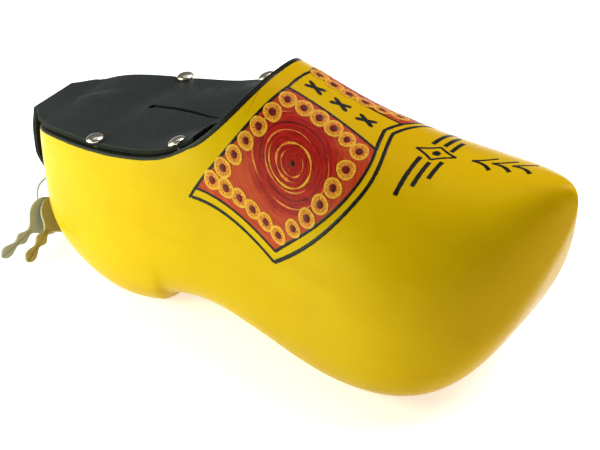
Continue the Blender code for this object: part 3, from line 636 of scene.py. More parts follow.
def skin(bag, curves, x_ends, mouth, counts, n, flat):
    """Grid over one skin.  Returns the two rim rows (left, right)."""
    x0, x1 = x_ends
    xh, xt = mouth
    nh, nm, nt = counts
    mid = 0.5 * (x0 + x1)
    half = 0.5 * (x1 - x0)
    turn = lambda x: acos(max(-1, min(1, (mid - x) / half)))
    part = lambda a0, a1, count: [mid - half * cos(a) for a in np.linspace(a0, a1, count + 1)]
    stations = part(0, turn(xh), nh)[:-1] + list(spread(xh, xt, nm, 0.85)) + part(turn(xt), pi, nt)[1:]
    sides = []
    for sy in (1, -1):
        rows = []
        for i, x in enumerate(stations):
            if i in (0, len(stations) - 1):
                rows.append(bag.add([(x, 0, 0.5 * sum(curves(x)[1:3]))]) * (n + 1))
                continue
            cut_z = rim_z(x) - RIM_ROUND if nh <= i <= nh + nm else None
            sec = section(curves, x, n, cut_z, flat)
            if i in (nh, nh + nm):
                sec[-1, 0] = 0.0
            sec[0, 0] = 0.0
            rows.append(bag.add([(x, sy * y, z) for y, z in sec]))
        sides.append(rows)
        bag.loft(rows, closed=False, flip=sy < 0)
    return [[sides[s][i][n] for i in range(nh, nh + nm + 1)] for s in (0, 1)]


def make_clog():
    """Outer skin, hollow and rounded rim in one closed mesh."""
    nm = 96
    b = Bag()
    ro = skin(b, outer_curves, (0.0, LENGTH), (XH, XT), (12, nm, 66), 64, True)
    b.slot = 2
    ri = skin(b, inner_curves, CAVITY, (XHI, XTI), (8, nm, 40), 34, False)
    b.slot = 1
    corner = [(RIM_ROUND * (1 - cos(a)), RIM_ROUND * (1 - sin(a))) for a in np.radians([30, 60, 90])]
    for so, si in zip(ro, ri):
        rows = [so] + [[] for _ in range(2 * len(corner))] + [si]
        for i in range(nm + 1):
            p = np.array(b.v[so[i]])[:2]
            d = np.array(b.v[si[i]])[:2] - p
            wide = np.linalg.norm(d)
            for k, (step, drop) in enumerate(corner + [(wide - s, e) for s, e in corner[::-1]]):
                x, y = p + d * step / wide
                rows[k + 1] += b.add([(x, y, rim_z(x) - drop)])
        b.loft(rows, closed=False)
    ob = build("clog_wood", b, [MAT["lacquer"], MAT["edge"], MAT["wood"]], weld=0.01, sharp=50)
    edge = np.array([b.v[i] for side in ro for i in side])
    co = np.array([v.co for v in ob.data.vertices]) / MM + [HEEL_X, 0, 0]
    # distance from the rim edge, for the black line along it: partly black paint, partly painted shadow of
    # the gap under the cover
    band = np.full(len(co), 20.0)
    near = co[:, 0] < XT + 12
    far = np.concatenate([np.sqrt(((edge - c[:, None]) ** 2).sum(-1)).min(1)
                          for c in np.array_split(co[near], 60)])
    band[near] = far - RIM_PAINT_AND_SHADOW_W
    ob.data.attributes.new("rim_paint_and_shadow", "FLOAT", "POINT").data.foreach_set("value", band.astype(np.float32))
    holes = []
    for x, y in TACKS:
        for s in (-1, 1):
            foot, ax = tack_seat(x, s * y)
            holes.append(cylinder(foot, ax, TACK_SHANK_R + 0.25, -TACK_LEN - 2.0, 3.0))
    for z in STAPLE_Z:
        holes.append(cylinder((0, 0, z), (1, 0, 0), STAPLE_R + 0.15, -4.0, 5.3))
    return cut(ob, holes, 50, "wood")


# ==== leathercloth
def outline(x):
    """Half width of the cover at x."""
    if x < 6.0:
        a = half_at(outer_curves, 6.0, rim_z(6.0)) - INSET + 0.6
        return STRAP_HALF + (a - STRAP_HALF) * smooth((x + 2.0) / 8.0)
    rim = half_at(outer_curves, x, rim_z(x)) - INSET + 0.6 * float(1 - smooth((x - 6) / 20))
    if x <= SHOULDER_X:
        return rim
    z = sheet_edge_z(x)
    tuck = min(half_at(inner_curves, x, z), half_at(inner_curves, x, z + SHEET_T)) - 1.3
    k = smooth((x - SHOULDER_X) / 1.6)
    return rim * (1 - k) + tuck * k


def sheet_edge_z(x):
    if x < 8:
        return float(rim_z(8.0)) + SHEET_GAP - 0.06 * (8 - x)
    return float(rim_z(x)) + SHEET_GAP - 5.2 * smooth((x - SHOULDER_X - 1.5) / 8.0)


@functools.lru_cache(None)
def sheet_bow(x):
    """Edge height, bow in the middle and the half width it fades over, at x."""
    xi = min(max(x, CAVITY[0] + 0.5), XTI)
    reach = max(half_at(inner_curves, xi, min(rim_z(x), inner_curves(xi)[2])), 1.0)
    bow = 1.6 * smooth((x - FOLD_X - 1) / 12) * (1 - smooth((x - 52) / 14))
    bow -= 3.6 * smooth((x - 60) / 16) * (1 - smooth((x - 86) / 8))
    bow += 0.9 * smooth((x - 4) / 10) * (1 - smooth((x - FOLD_X + 11) / 10))
    return sheet_edge_z(x), bow, reach


def sheet_z(x, y):
    """Underside of the cover: crowned at the rear, dished towards the throat."""
    z, bow, reach = sheet_bow(float(x))
    return z + bow * max(0.0, 1 - (y / reach) ** 2) ** 1.5


def tack_seat(x, y):
    """Underside centre of a tack's head and the tack's axis."""
    slope = float(rim_z(x + 0.5) - rim_z(x - 0.5))
    ax = np.array([-slope, 0, 1.0]) / hypot(1, slope)
    return np.array([x, y, sheet_z(x, y) + SHEET_T]) + ax * 0.35, ax


def pucker(x, y):
    """How far the leather's face sinks round the tack heads."""
    sink = 0.0
    for tx, ty in TACKS:
        r = hypot(x - tx, abs(y) - ty)
        a = atan2(abs(y) - ty, x - tx)
        sink += 0.32 * exp(-(r / 4.2) ** 2)
        sink += 0.05 * exp(-((r - 5.5) / 2.2) ** 2) * cos(7 * a)
    return sink


def leather_row(bag, centre, out, half, n, thick, face_sink=lambda y: 0.0):
    """Closed loop of vertices round one cross section of the sheet, rounded at its upper edges."""
    e = 0.45
    flat = [(half - e) * copysign(abs(s) ** 0.85, s) for s in np.linspace(-1, 1, n + 1)]
    corner = arc(half - e, thick - e - face_sink(half), e, 60, 0, 3)
    loop = [(y, thick - face_sink(y)) for y in flat] + corner + [(half, 0.0)]
    loop += [(y, 0.0) for y in flat[::-1]] + [(-half, 0.0)] + [(-y, z) for y, z in corner[::-1]]
    return bag.add([centre(y) + out * h for y, h in loop])


def skin_rows(bag, rows, n):
    """Faces between the closed loops, with end caps; the underside and the cut edges get slot 1."""
    m = len(rows[0])
    for a, b in zip(rows[:-1], rows[1:]):
        for k in range(m):
            bag.slot = 0 if k < n + 1 or k > m - 3 else 1
            j = (k + 1) % m
            bag.face((a[k], b[k], b[j], a[j]))
    bag.slot = 1
    bag.face(rows[0])
    bag.face(rows[-1])


def make_cover():
    """Cover and lid in one sheet."""
    front = SHOULDER_X + 1.6
    while outline(front) > 6.0 and front < XTI - 1.4:
        front += 0.25
    xs = list(np.linspace(STRAP_FOLD_X + 0.02, SHOULDER_X, 150))
    xs += list(np.linspace(SHOULDER_X, front, 28))[1:]
    n = 56
    b = Bag()
    rows = []
    for x in xs:
        centre = lambda y, x=x: np.array([x, y, sheet_z(x, y)])
        fade = smooth((SHOULDER_X - x) / 3)
        sink = lambda y, x=x, fade=fade: fade * pucker(x, y)
        rows.append(leather_row(b, centre, np.array([0, 0, 1.0]), outline(x), n, SHEET_T, sink))
    skin_rows(b, rows, n)
    ob = build("cover_sheet", b, [MAT["leather"], MAT["backing"]], sharp=55)
    x0, x1, sw = SLIT
    side = [(x0 + (x1 - x0) * t, sw / 2 * (1 - 0.55 * t ** 3)) for t in np.linspace(0, 1, 9)]
    slot = side + [(x1 + 0.6, 0)] + [(x, -y) for x, y in side[::-1]]
    cutters = [prism(slot, lambda p, q, z: (p, q, z), 40, 90),
               cylinder((x0, 0, 0), (0, 0, 1), SLIT_HOLE_R, 40, 90, 40)]
    for x, y in TACKS:
        cutters += [cylinder(*tack_seat(x, s * y), TACK_SHANK_R + 0.3, -5, 5) for s in (-1, 1)]
    area = 2 * sum(outline(a) * (c - a) for a, c in zip(xs[:-1], xs[1:])) * MM ** 2
    size = (2 * max(outline(x) for x in xs) * MM, (xs[-1] - xs[0]) * MM)
    return cut(ob, cutters, 55, "backing"), size, area


def strap_path():
    """Points (x, z) and outward normals (nx, nz) of the strap's outer face, top to end."""
    top = sheet_z(STRAP_FOLD_X, STRAP_HALF) + SHEET_T
    path = [(STRAP_FOLD_X - 0.02 - BEND_R * sin(a), top - BEND_R * (1 - cos(a)))
            for a in np.radians(np.linspace(0, 90, 13))]
    zs = np.linspace(path[-1][1] - 0.6, STRAP_END[0], 60)
    knots = [path[-1]] + [(x, z) for z, x in STRAP_BULGE] + [(STRAP_END[1], STRAP_END[0])]
    xs = spline([-k[1] for k in knots], [k[0] for k in knots], -zs)
    path += list(zip(xs, zs))
    P = np.array(path)
    T = np.gradient(P, axis=0)
    T[0] = (-1, 0)
    return P, -leftward(T)


def make_strap():
    P, N = strap_path()
    b = Bag()
    rows = []
    for (x, z), (nx, nz) in zip(P, N):
        k = smooth((36 - z) / 14)
        end = max(0.0, 1 - (z - STRAP_END[0]) / 4.5)
        w = STRAP_HALF - 3.2 * k - 3.4 * (1 - sqrt(max(0.0, 1 - end ** 2)))
        out = np.array([nx, 0, nz])
        inner = np.array([x, LOCK_Y * k * 0.7, z]) - STRAP_T * out
        rows.append(leather_row(b, lambda y, c=inner: c + np.array([0, y, 0]), out, w, 26, STRAP_T))
    skin_rows(b, rows, 26)
    ob = build("strap_sheet", b, [MAT["leather"], MAT["backing"]], sharp=55)
    z0, z1, hw = STRAP_SLOT
    upright = arc(0, z1 - hw, hw, 0, 180, 17) + arc(0, z0 + hw, hw, 180, 360, 17)
    z0, z1, hw = LOCK_HOLE
    r, zc = (z1 - z0) / 2, (z0 + z1) / 2
    wide = arc(LOCK_Y + hw - r, zc, r, -90, 90, 17) + arc(LOCK_Y - hw + r, zc, r, 90, 270, 17)
    cutters = [prism(hole, lambda p, q, h: (h, p, q), -12, -1.0) for hole in (upright, wide)]
    return cut(ob, cutters, 55, "backing"), (2 * STRAP_HALF * MM, along(P)[-1] * MM)


# ==== painting
class SkinMap:
    """Points of the outer skin by (x, g)."""

    def __init__(self, x0=72.0, x1=196.0, step=0.5, reach=80.0):
        self.x = np.arange(x0, x1 + step, step)
        self.g = np.arange(0, reach, step)
        self.y = np.zeros((len(self.x), len(self.g)))
        self.z = np.zeros_like(self.y)
        for i, x in enumerate(self.x):
            s = section(outer_curves, x, 500, None, False)[::-1]
            self.y[i], self.z[i] = resample(s, self.g).T

    def flat(self, x, g):
        x, g = np.asarray(x, float), np.asarray(g, float)
        u = np.clip((x - self.x[0]) / (self.x[1] - self.x[0]), 0, len(self.x) - 1.001)
        v = np.clip(np.abs(g) / (self.g[1] - self.g[0]), 0, len(self.g) - 1.001)
        i, j = u.astype(int), v.astype(int)
        a, b = u - i, v - j
        mix = lambda t: (t[i, j] * (1 - a) * (1 - b) + t[i + 1, j] * a * (1 - b)
                         + t[i, j + 1] * (1 - a) * b + t[i + 1, j + 1] * a * b)
        return np.stack([x, np.sign(g) * mix(self.y), mix(self.z)], -1)

    def at(self, x, g, lift):
        """Skin points moved out along the normal by lift."""
        h = 0.6
        n = np.cross(self.flat(x + h, g) - self.flat(x - h, g), self.flat(x, g + h) - self.flat(x, g - h))
        n /= np.linalg.norm(n, axis=-1)[..., None]
        return self.flat(x, g) + n * np.asarray(lift)[..., None]


SKIN = SkinMap()


def curve(points, step=0.6):
    """Smooth line through a few (x, g) points, evenly spaced."""
    p = np.array(points, float)
    if len(p) > 2:
        k = along(p)
        t = np.linspace(0, k[-1], 40)
        bow = lambda c: np.polyval(np.polyfit(k, c, 2), t) if len(p) == 3 else spline(k, c, t)
        p = np.stack([bow(p[:, 0]), bow(p[:, 1])], 1)
    end = along(p)[-1]
    return resample(p, np.linspace(0, end, max(2, int(end / step) + 1)))


def stroke(bag, line, width, lift=1.0, closed=False, taper=0.0, wobble=0.05):
    """Raised brush stroke along a line of (x, g) points; width is one value or one per point."""
    p = np.array(line, float)
    n = len(p)
    side = leftward(np.roll(p, -1, 0) - np.roll(p, 1, 0) if closed else np.gradient(p, axis=0))
    w = np.broadcast_to(np.asarray(width, float), (n,)) * (1 + wobble * RNG.standard_normal(n))
    if taper:
        u = np.linspace(0, 1, n)
        w = w * np.clip(np.minimum(u, 1 - u) / taper, 0.25, 1) ** 0.5
    rows = []
    for off, h in ((-0.5, 0.25), (-0.36, 0.9), (0.0, 1.0), (0.36, 0.9), (0.5, 0.25)):
        q = p + side * (w * off)[:, None]
        rows.append(bag.add(SKIN.at(q[:, 0], q[:, 1], PAINT * (lift - 1 + h))))
    bag.loft(rows, closed)


def dab(bag, c, r, lift=1.0, rings=2, segs=22):
    """Round dab of paint."""
    ang = np.linspace(0, 2 * pi, segs, endpoint=False)
    wave = r * (1 + 0.04 * np.sin(3 * ang + c[0]) + 0.03 * np.sin(5 * ang + c[1]))
    rows = [bag.add([SKIN.at(c[0], c[1], PAINT * lift)]) * segs]
    for share, height in [(k / rings, lift) for k in range(1, rings + 1)] + [(1.04, lift - 0.75)]:
        x, g = c[0] + share * wave * np.cos(ang), c[1] + share * wave * np.sin(ang)
        rows.append(bag.add(SKIN.at(x, g, PAINT * height)))
    bag.loft(rows)


def mirrored(points, side):
    return [(x, side * g) for x, g in points]


def coons(rear, strip, low, front, n=48):
    """Grid of (x, g) between four edges: rear and front run low to strip, low and strip run rear to front."""
    u = np.linspace(0, 1, n + 1)
    sample = lambda e: np.stack([np.interp(u, np.linspace(0, 1, len(e)), e[:, i]) for i in (0, 1)], 1)
    E0, E1, F0, F1 = (sample(curve(e, 0.25)) for e in (rear, front, low, strip))
    a, b = u[:, None, None], u[:, None]
    edge = (1 - b) * E0[:, None] + b * E1[:, None] + (1 - a) * F0 + a * F1
    return edge - (1 - b) * ((1 - a) * E0[0] + a * E0[-1]) - b * ((1 - a) * E1[0] + a * E1[-1])


def ring_centres():
    out = []
    for k, (count, bow) in enumerate(RING_SIDES):
        a, b = np.array(RING_CORNERS[k]), np.array(RING_CORNERS[(k + 1) % 4])
        d = unit(b - a)
        side = np.array([d[1], -d[0]])
        out += [a + (b - a) * t + side * bow * 4 * t * (1 - t) for t in np.arange(count) / count]
    return out


def make_painting():
    bags = {k: Bag() for k in ("black", "red", "orange", "amber", "maroon", "swirl")}
    line = lambda points, width: stroke(bags["black"], curve(points), width, 2.2)
    ground = []
    for side, strip in ((-1, STRIP_NEAR), (1, STRIP_FAR)):
        rear = mirrored(PANEL_REAR[:-1] + [strip[0]], side)
        front = mirrored(([strip[-1]] + PANEL_FRONT[1:])[::-1], side)
        low = mirrored(PANEL_LOW, side)
        top = mirrored(strip, side)
        grid = coons(rear, top, low, front)
        bags["red"].loft([bags["red"].add(SKIN.at(*row.T, PAINT * 0.6)) for row in grid], closed=False)
        ground += [(x - SPIRAL_AT[0], side * g - SPIRAL_AT[1], 0.0) for x, g in grid.reshape(-1, 2)]
        line(mirrored(PANEL_TAIL, side) + rear, LINE_W)
        line(low, LINE_W)
        line(front, LINE_W)
        line(top, LINE_W * 0.85)
        line([top[-1], (VEE_X, 0)], BORDER_W)
        line(mirrored(BORDER_FRONT, side), BORDER_W)
        line(mirrored(BORDER_LOW, side), BORDER_W)
        for c in ring_centres():
            flower(bags, (c[0], side * c[1]))
        swirl(bags, side)
    line([(102.6, -5.5), (102.6, 8.0)], LINE_W)
    for x, g in CROSSES:
        for s in (1, -1):
            arm = [(x - CROSS[0], g - CROSS[1] * s), (x + CROSS[0], g + CROSS[1] * s)]
            stroke(bags["black"], curve(arm, 0.4), CROSS_W, 1.5, taper=0.12)
    make_diamond(bags["black"])
    stroke(bags["black"], *throat_line(), 1.5, wobble=0.02)
    pieces = [build("painting_" + key, b, MAT[key], weld=0, sharp=180, outward=False)
              for key, b in bags.items()]
    points = pieces[1].data.attributes.new("panel", "FLOAT_VECTOR", "POINT")
    points.data.foreach_set("vector", np.array(ground, np.float32).ravel())
    for ob in pieces:
        face_out(ob)
    return pieces


def face_out(ob):
    """Turn each face away from the shoe's middle line."""
    out = lambda c: Vector((0, c.y, c.z - 0.035))
    wrong = lambda bm: [f for f in bm.faces if f.normal.dot(out(f.calc_center_median())) < 0]
    edit(ob.data, lambda bm: bmesh.ops.reverse_faces(bm, faces=wrong(bm)))


def flower(bags, c):
    """Orange ring with amber rays and a dark middle."""
    r = PANEL_RING_R * float(1 + 0.04 * RNG.standard_normal())
    dab(bags["orange"], c, r * 0.98, 1.7, rings=3)
    ang = np.linspace(0, 2 * pi, 40, endpoint=False)
    wave = r * (0.97 + 0.03 * np.sin(3 * ang + RNG.uniform(0, 6)))
    loop = np.stack([c[0] + wave * np.cos(ang), c[1] + wave * np.sin(ang)], 1)
    stroke(bags["amber"], loop, 0.72, 3.0, closed=True, wobble=0.12)
    turn = RNG.uniform(0, 1)
    for k in range(RAYS):
        a = 2 * pi * (k + turn) / RAYS + 0.06 * RNG.standard_normal()
        r0, r1 = r * RNG.uniform(0.44, 0.56), r * 0.96
        p = [(c[0] + q * cos(a), c[1] + q * sin(a)) for q in np.linspace(r0, r1, 4)]
        stroke(bags["amber"], p, 0.36, 2.8, taper=0.3)
    dab(bags["maroon"], c, r * 0.42, 2.6, segs=16)


def swirl(bags, side):
    """Loose spiral of dry-brushed strokes round the middle of a panel."""
    cx, cg = SPIRAL_AT

    def sweep(r0, r1, a0, a1, w, bag, drift=(0, 0), lift=1.8):
        t = np.linspace(0, 1, max(6, int(abs(a1 - a0) / 7)))
        a = np.radians(a0 + (a1 - a0) * t)
        r = r0 + (r1 - r0) * t
        body = np.clip(np.minimum(t, 1 - t) / 0.18, 0.12, 1)
        width = w * body * (0.75 + 0.35 * np.sin(5 * a + r0))
        x = cx + drift[0] * t + r * np.cos(a)
        g = cg + drift[1] * t + r * np.sin(a)
        stroke(bags[bag], np.stack([x, side * g], 1), width, lift, wobble=0.10)

    dab(bags["black"], (cx, side * cg), 0.75, 2.0)
    sweep(3.6, 4.2, -60, 235, 0.45, "swirl")
    sweep(5.2, 6.3, 60, 265, 0.85, "swirl")
    sweep(5.6, 8.2, 200, 560, 0.75, "amber", (-0.5, 0))
    sweep(8.3, 9.6, 20, 300, 0.55, "swirl", (-1.5, 0))
    sweep(11.5, 12.6, 150, 330, 0.55, "maroon", (-0.8, 0))
    sweep(12.4, 13.4, -40, 120, 0.50, "swirl")
    sweep(13.6, 15.2, 130, 250, 0.60, "swirl", (-1, 0))
    sweep(10.4, 11.2, 30, 130, 0.50, "maroon")


def throat_line():
    """Middle line of the black band up both sides of the throat, and its width at each point."""
    xs = XT - (XT - 73.5) * (1 - np.linspace(0, 0.999, 70)) ** 2
    fall = lambda x: -SKIN.flat(np.full(len(SKIN.g), x), SKIN.g)[:, 2]
    line = [(x, np.interp(-rim_z(x), fall(x), SKIN.g)) for x in xs]
    both = np.array(line + [(x, -g) for x, g in line[::-1]])
    t = np.linspace(0, along(both)[-1], 160)
    p = resample(both, t)
    width = 0.35 + (THROAT_BAND - 0.35) * smooth(np.minimum(t, t[-1] - t) / 11)
    return p + leftward(np.gradient(p, axis=0)) * (0.5 * width - 0.08)[:, None], width


def make_diamond(bag):
    """Diamond with a dot, three bars on each side, and three chevrons towards the toe."""
    line = lambda points, width, step=0.6: stroke(bag, curve(points, step), width, 1.5)
    (cx, cg), (a, b) = DIAMOND_AT, DIAMOND
    tips = [(cx - a, cg - 0.8), (cx - 0.3, cg + b), (cx + a, cg + 1.0), (cx + 0.3, cg - b)]
    for p, q in zip(tips, tips[1:] + tips[:1]):
        p, q = np.array(p), np.array(q)
        mid = 0.5 * (p + q) + 0.10 * (np.array([cx, cg]) - 0.5 * (p + q))
        line([p, mid, q], 0.90, 0.4)
    dab(bag, (cx + 0.2, cg), 1.3, 1.5)
    for x, g0, g1 in BARS:
        line([(x, cg - g0 + 0.4), (x - 0.2, cg - g1)], 1.5)
        line([(x - 0.3, cg + g0 - 0.4), (x - 0.5, cg + g1)], 1.5)
    for x, g in CHEVRONS:
        line([(x, g), (x + 3.6, g + 2.4), (x + 6.3, g + 5.2)], 0.95, 0.4)
        wide = curve([(x, g), (x + 4.2, g - 0.6), (x + 7.2, g - 3.0)], 0.4)
        stroke(bag, wide, np.linspace(0.9, 1.4, len(wide)), 1.5)


# ==== metal
def make_tack(i, x, y):
    R, D = TACK_HEAD_R, TACK_DOME
    prof = [(0, -TACK_LEN - 1.5), (TACK_SHANK_R, -TACK_LEN), (TACK_SHANK_R, -0.05), (R * 0.55, 0.02),
            (R * 0.93, 0.0), (R * 0.985, 0.06), (R, 0.22)]
    prof += [(R * cos(a), 0.25 + (D - 0.25) * sin(a)) for a in np.radians(np.arange(8, 90, 8))]
    prof += [(0, D)]
    return lathe("tack_dome_%d" % i, prof, *tack_seat(x, y), 48, MAT["nickel"], 60)


def make_staple():
    zc = 0.5 * sum(STAPLE_Z)
    rr = 0.5 * (STAPLE_Z[1] - STAPLE_Z[0])
    xo = STAPLE_OUT + STAPLE_R + rr
    path = [(x, 0, STAPLE_Z[0]) for x in np.linspace(4.9, xo + 0.6, 8)]
    path += [(x, 0, z) for x, z in arc(xo, zc, rr, -90, -270, 25)]
    path += [(x, 0, STAPLE_Z[1]) for x in np.linspace(xo + 0.6, 4.9, 8)]
    return tube("staple_wire", path, STAPLE_R, 20, "wire")


U = np.array([-cos(LOCK_YAW), sin(LOCK_YAW), 0.0])     # near leg to far leg of the shackle
V = np.array([sin(LOCK_YAW), cos(LOCK_YAW), 0.0])      # through the padlock's thickness
LOCK_AT = np.array([STRAP_END[1] + STRAP_T / 2, LOCK_Y, 0.0])


def lk(u, n, z):
    """Point in the padlock's own frame."""
    return LOCK_AT + U * u + V * n + np.array([0, 0, z])


def rounded(w, t, r, segs=8):
    pts = []
    for cu, cn, a0 in ((w - r, t - r, 0), (-w + r, t - r, 90), (-w + r, -t + r, 180), (w - r, -t + r, 270)):
        pts += arc(cu, cn, r, a0, a0 + 90, segs)
    return pts


def make_case():
    """Brass case with softened edges, two raised bands and an end plate line."""
    z0, z1 = LOCK_Z
    w, t = LOCK_W / 2, LOCK_T / 2
    e = 0.5
    end = [(0, e), (0.15, 0.15), (e, 0.0), (1.9, 0.0), (2.0, 0.14), (2.2, 0.14), (2.3, 0.0)]
    prof = [(z0 + h, inset) for h, inset in end] + [(z1 - h, inset) for h, inset in end[::-1]]
    b = Bag()
    b.loft([b.add([lk(u, n, z) for u, n in rounded(w - inset, t - inset, 1.6 - inset * 0.5)])
            for z, inset in prof], caps=True)
    ob = build("lock_case", b, MAT["brass"], sharp=38)
    pocket = [(-SHACKLE_HALF + 0.4, -0.95), (1.1, -0.95), (1.1, 0.95), (-SHACKLE_HALF + 0.4, 0.95)]
    return cut(ob, [
        cylinder(lk(SHACKLE_HALF, 0, 0), (0, 0, 1), SHACKLE_R + 0.2, 5.3, z1 + 1),
        cylinder(lk(-SHACKLE_HALF, 0, 0), (0, 0, 1), SHACKLE_R + 0.2, 10.2, z1 + 1),
        cylinder(lk(0, 0, 0), (0, 0, 1), PLUG_R + 0.15, z0 - 1, 10.5, 48),
        prism(pocket, lk, 10.3, 13.2)], 38)


def make_shackle():
    path = [lk(-SHACKLE_HALF, 0, z) for z in (11.4, 12.5, 13.5, 15.5, 18.0)]
    path += [lk(u, 0, z) for u, z in arc(0, CROWN_Z, SHACKLE_HALF, 180, 0, 33)]
    path += [lk(SHACKLE_HALF, 0, z) for z in (18.0, 15.5, 13.5, 11.0, 8.6)]
    ob = tube("shackle_bow", path, SHACKLE_R, 24, "wire")
    u0, u1 = 0.15 - SHACKLE_HALF, 2.0 - SHACKLE_HALF
    notch = [(u0, -1.5), (u1, -1.5), (u1, 1.5), (u0, 1.5)]
    return cut(ob, [prism(notch, lk, 11.85, 13.3)])


def make_plug():
    z0, z1 = PLUG_Z
    prof = [(0, z0), (PLUG_R - 0.35, z0), (PLUG_R - 0.1, z0 + 0.08), (PLUG_R, z0 + 0.3), (PLUG_R, z1),
            (0.8, z1), (0.8, 10.1), (0, 10.1)]
    ob = lathe("plug_barrel", prof, lk(0, 0, 0), (0, 0, 1), 48, MAT["plug"], 38)
    way = [(-1.75, -0.45), (0.2, -0.45), (0.2, -0.75), (0.7, -0.75), (0.7, -0.45), (1.75, -0.45),
           (1.75, 0.45), (-1.75, 0.45)]
    return cut(ob, [prism(way, lk, z0 - 1, z0 + 4.5)], 38)


def make_ring():
    """Wire ring, and the function that gives its points by angle."""
    rn = unit(RING_N)
    r1 = unit(np.cross(rn, [0, 0, 1.0]))
    r2 = np.cross(rn, r1)
    at = lambda a: np.array(RING_C) + RING_R * (r1 * cos(a) + r2 * sin(a))
    path = [at(a) for a in np.linspace(0, 2 * pi, 96, endpoint=False)]
    return tube("ring_wire", path, RING_WIRE, 14, "wire", closed=True), at


def key_profile():
    """Right-hand half of a key's outline from bow top to blade tip (x across, y along)."""
    pts = arc(0, 0, KEY_BOW_R, -90, 60, 40)
    x, y = pts[-1]
    knots = [(0.0, x), (1.0, 2.4), (2.4, 1.3), (3.8, 1.15), (6.2, 2.1), (7.4, 2.0), (9.3, 1.05),
             (10.6, 1.1), (13.0, 1.95), (14.6, 2.05), (16.0, 1.6), (KEY_BLADE, 0.5)]
    ds = np.linspace(0, KEY_BLADE, 70)[1:]
    return pts + list(zip(spline(*np.transpose(knots), ds), y + ds))


def make_key(name, origin, along_blade, normal, mat):
    """Flat key with a bevelled outline, a ring hole and a milled groove down the blade."""
    a = unit(along_blade)
    nn = unit(np.asarray(normal, float) - a * (np.asarray(normal, float) @ a))
    s = np.cross(a, nn)
    off = KEY_BOW_R - KEY_HOLE_R - KEY_RIM
    at = lambda x, y, h: np.asarray(origin) + s * x + a * (y + off) + nn * h
    half = key_profile()
    loop = np.array(half + [(-x, y) for x, y in half[::-1] if x > 1e-6])
    e, t = 0.16, KEY_T / 2
    small = loop + e * leftward(np.roll(loop, -1, 0) - np.roll(loop, 1, 0))
    b = Bag()
    b.loft([b.add([at(x, y, h) for x, y in ring])
            for ring, h in ((small, -t), (loop, e - t), (loop, t - e), (small, t))], caps=True)
    ob = build(name, b, mat, sharp=30)
    hole = arc(0, -off, KEY_HOLE_R, 0, 351, 40)
    groove = [(-0.35, 8.0), (0.35, 8.0), (0.35, 40.0), (-0.35, 40.0)]
    return cut(ob, [prism(hole, at, -2, 2), prism(groove, at, t - 0.25, 2)], 30)


# ==== put it together
def place(ob, body, slot, *nodes):
    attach(ob, body)
    if nodes:
        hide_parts(*nodes)


place(make_clog(), "clog", "lacquered_wood", "clog_body")
for piece in make_painting():
    place(piece, "clog", "lacquered_wood")

cover, cover_size, cover_area = make_cover()
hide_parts("cover_panel", "lid_flap")
fold = world((FOLD_X, 0, sheet_edge_z(FOLD_X) + SHEET_T))
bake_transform(cover)
min(cover_area, cover_size[0] * cover_size[1])
strap, strap_size = make_strap()
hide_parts("heel_strap")
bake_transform(strap)

for number, (tx, side) in enumerate([(t, s) for s in (-1, 1) for t in TACKS], 1):
    place(make_tack(number, tx[0], side * tx[1]), "clog", "nickel", "tack_%d" % number)
place(make_staple(), "clog", "steel_wire", "staple")
place(make_shackle(), "shackle", "steel_wire", "shackle")
place(make_case(), "case", "brass", "padlock_case")
place(make_plug(), "plug", "brass", "key_plug")
ring, ring_at = make_ring()
place(ring, "ring", "steel_wire", "key_ring")
key_grey = make_key("key_grey", ring_at(KEYS_ON_RING[0]), *KEY_1_LIE, MAT["key_grey"])
key_yellow = make_key("key_yellow", ring_at(KEYS_ON_RING[1]), *KEY_2_LIE, MAT["key_brass"])
place(key_grey, "key_1", "grey_steel", "key_1")
place(key_yellow, "key_2", "brass", "key_2")
for node, mat in (("latch_bolt", "plug"), ("shackle_spring", "spring")):
    frame["nodes"][node].data.materials.clear()
    frame["nodes"][node].data.materials.append(MAT[mat])


# ==== floor, light, camera
def make_floor():
    b = Bag()
    r = 3000
    b.face(b.add([(-r, -r, 0), (r, -r, 0), (r, r, 0), (-r, r, 0)]))
    ob = build("floor", b, MAT["floor"])


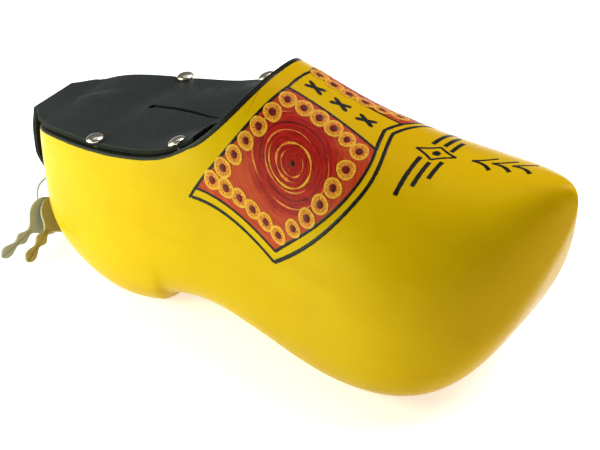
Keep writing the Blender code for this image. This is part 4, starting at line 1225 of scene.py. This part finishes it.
def area_light(name, at, target, size, power, colour=(1, 1, 1)):
    data = bpy.data.lights.new(name, "AREA")
    data.shape = "RECTANGLE"
    data.size, data.size_y = size
    data.energy = power
    data.color = colour
    ob = new_object(name, data)
    ob.location = at
    ob.rotation_euler = (Vector(target) - Vector(at)).to_track_quat("-Z", "Y").to_euler()


VIEW_AZ, VIEW_EL, VIEW_ROLL = radians(33.8), radians(33.15), radians(-1.61)
VIEW_DISTANCE, VIEW_FOCAL = 0.5285, 97.2
VIEW_TARGET = world((107.65, -8.38, 39.57))

right = Vector((cos(VIEW_AZ), sin(VIEW_AZ), 0))
level = Vector((sin(VIEW_AZ), -cos(VIEW_AZ), 0))             # towards the viewer, level
back = level * cos(VIEW_EL) + Vector((0, 0, sin(VIEW_EL)))   # towards the viewer


def make_camera():
    up = right.cross(-back)
    r2 = right * cos(VIEW_ROLL) + up * sin(VIEW_ROLL)
    u2 = -right * sin(VIEW_ROLL) + up * cos(VIEW_ROLL)
    cam = bpy.data.cameras.new("camera")
    cam.lens = VIEW_FOCAL
    cam.sensor_width = 36
    cam.clip_start = 0.01
    ob = new_object("camera", cam)
    m = Matrix((r2, u2, back)).transposed().to_4x4()
    m.translation = VIEW_TARGET + back * VIEW_DISTANCE
    ob.matrix_world = m
    SCENE.camera = ob


def make_light():
    centre = Vector((0.06, 0, 0.04))
    up = Vector((0, 0, 1))
    area_light("key", centre - right * 0.26 + level * 0.04 + up * 0.06, centre, (0.2, 0.2), 1.0,
               (0.82, 1.03, 0.70))
    area_light("fill", centre + right * 0.6 - level * 0.2 + up * 0.8, centre, (0.7, 0.7), 12.3)
    area_light("top", centre - level * 0.3 + up * 1.2, centre, (1.0, 0.8), 2.0)
    sky = bpy.data.worlds.new("studio")
    sky.use_nodes = True
    sky.node_tree.nodes["Background"].inputs[0].default_value = (1, 1, 1, 1)
    sky.node_tree.nodes["Background"].inputs[1].default_value = 0.15
    SCENE.world = sky
    SCENE.view_settings.view_transform = "Standard"


make_floor()
make_light()
make_camera()
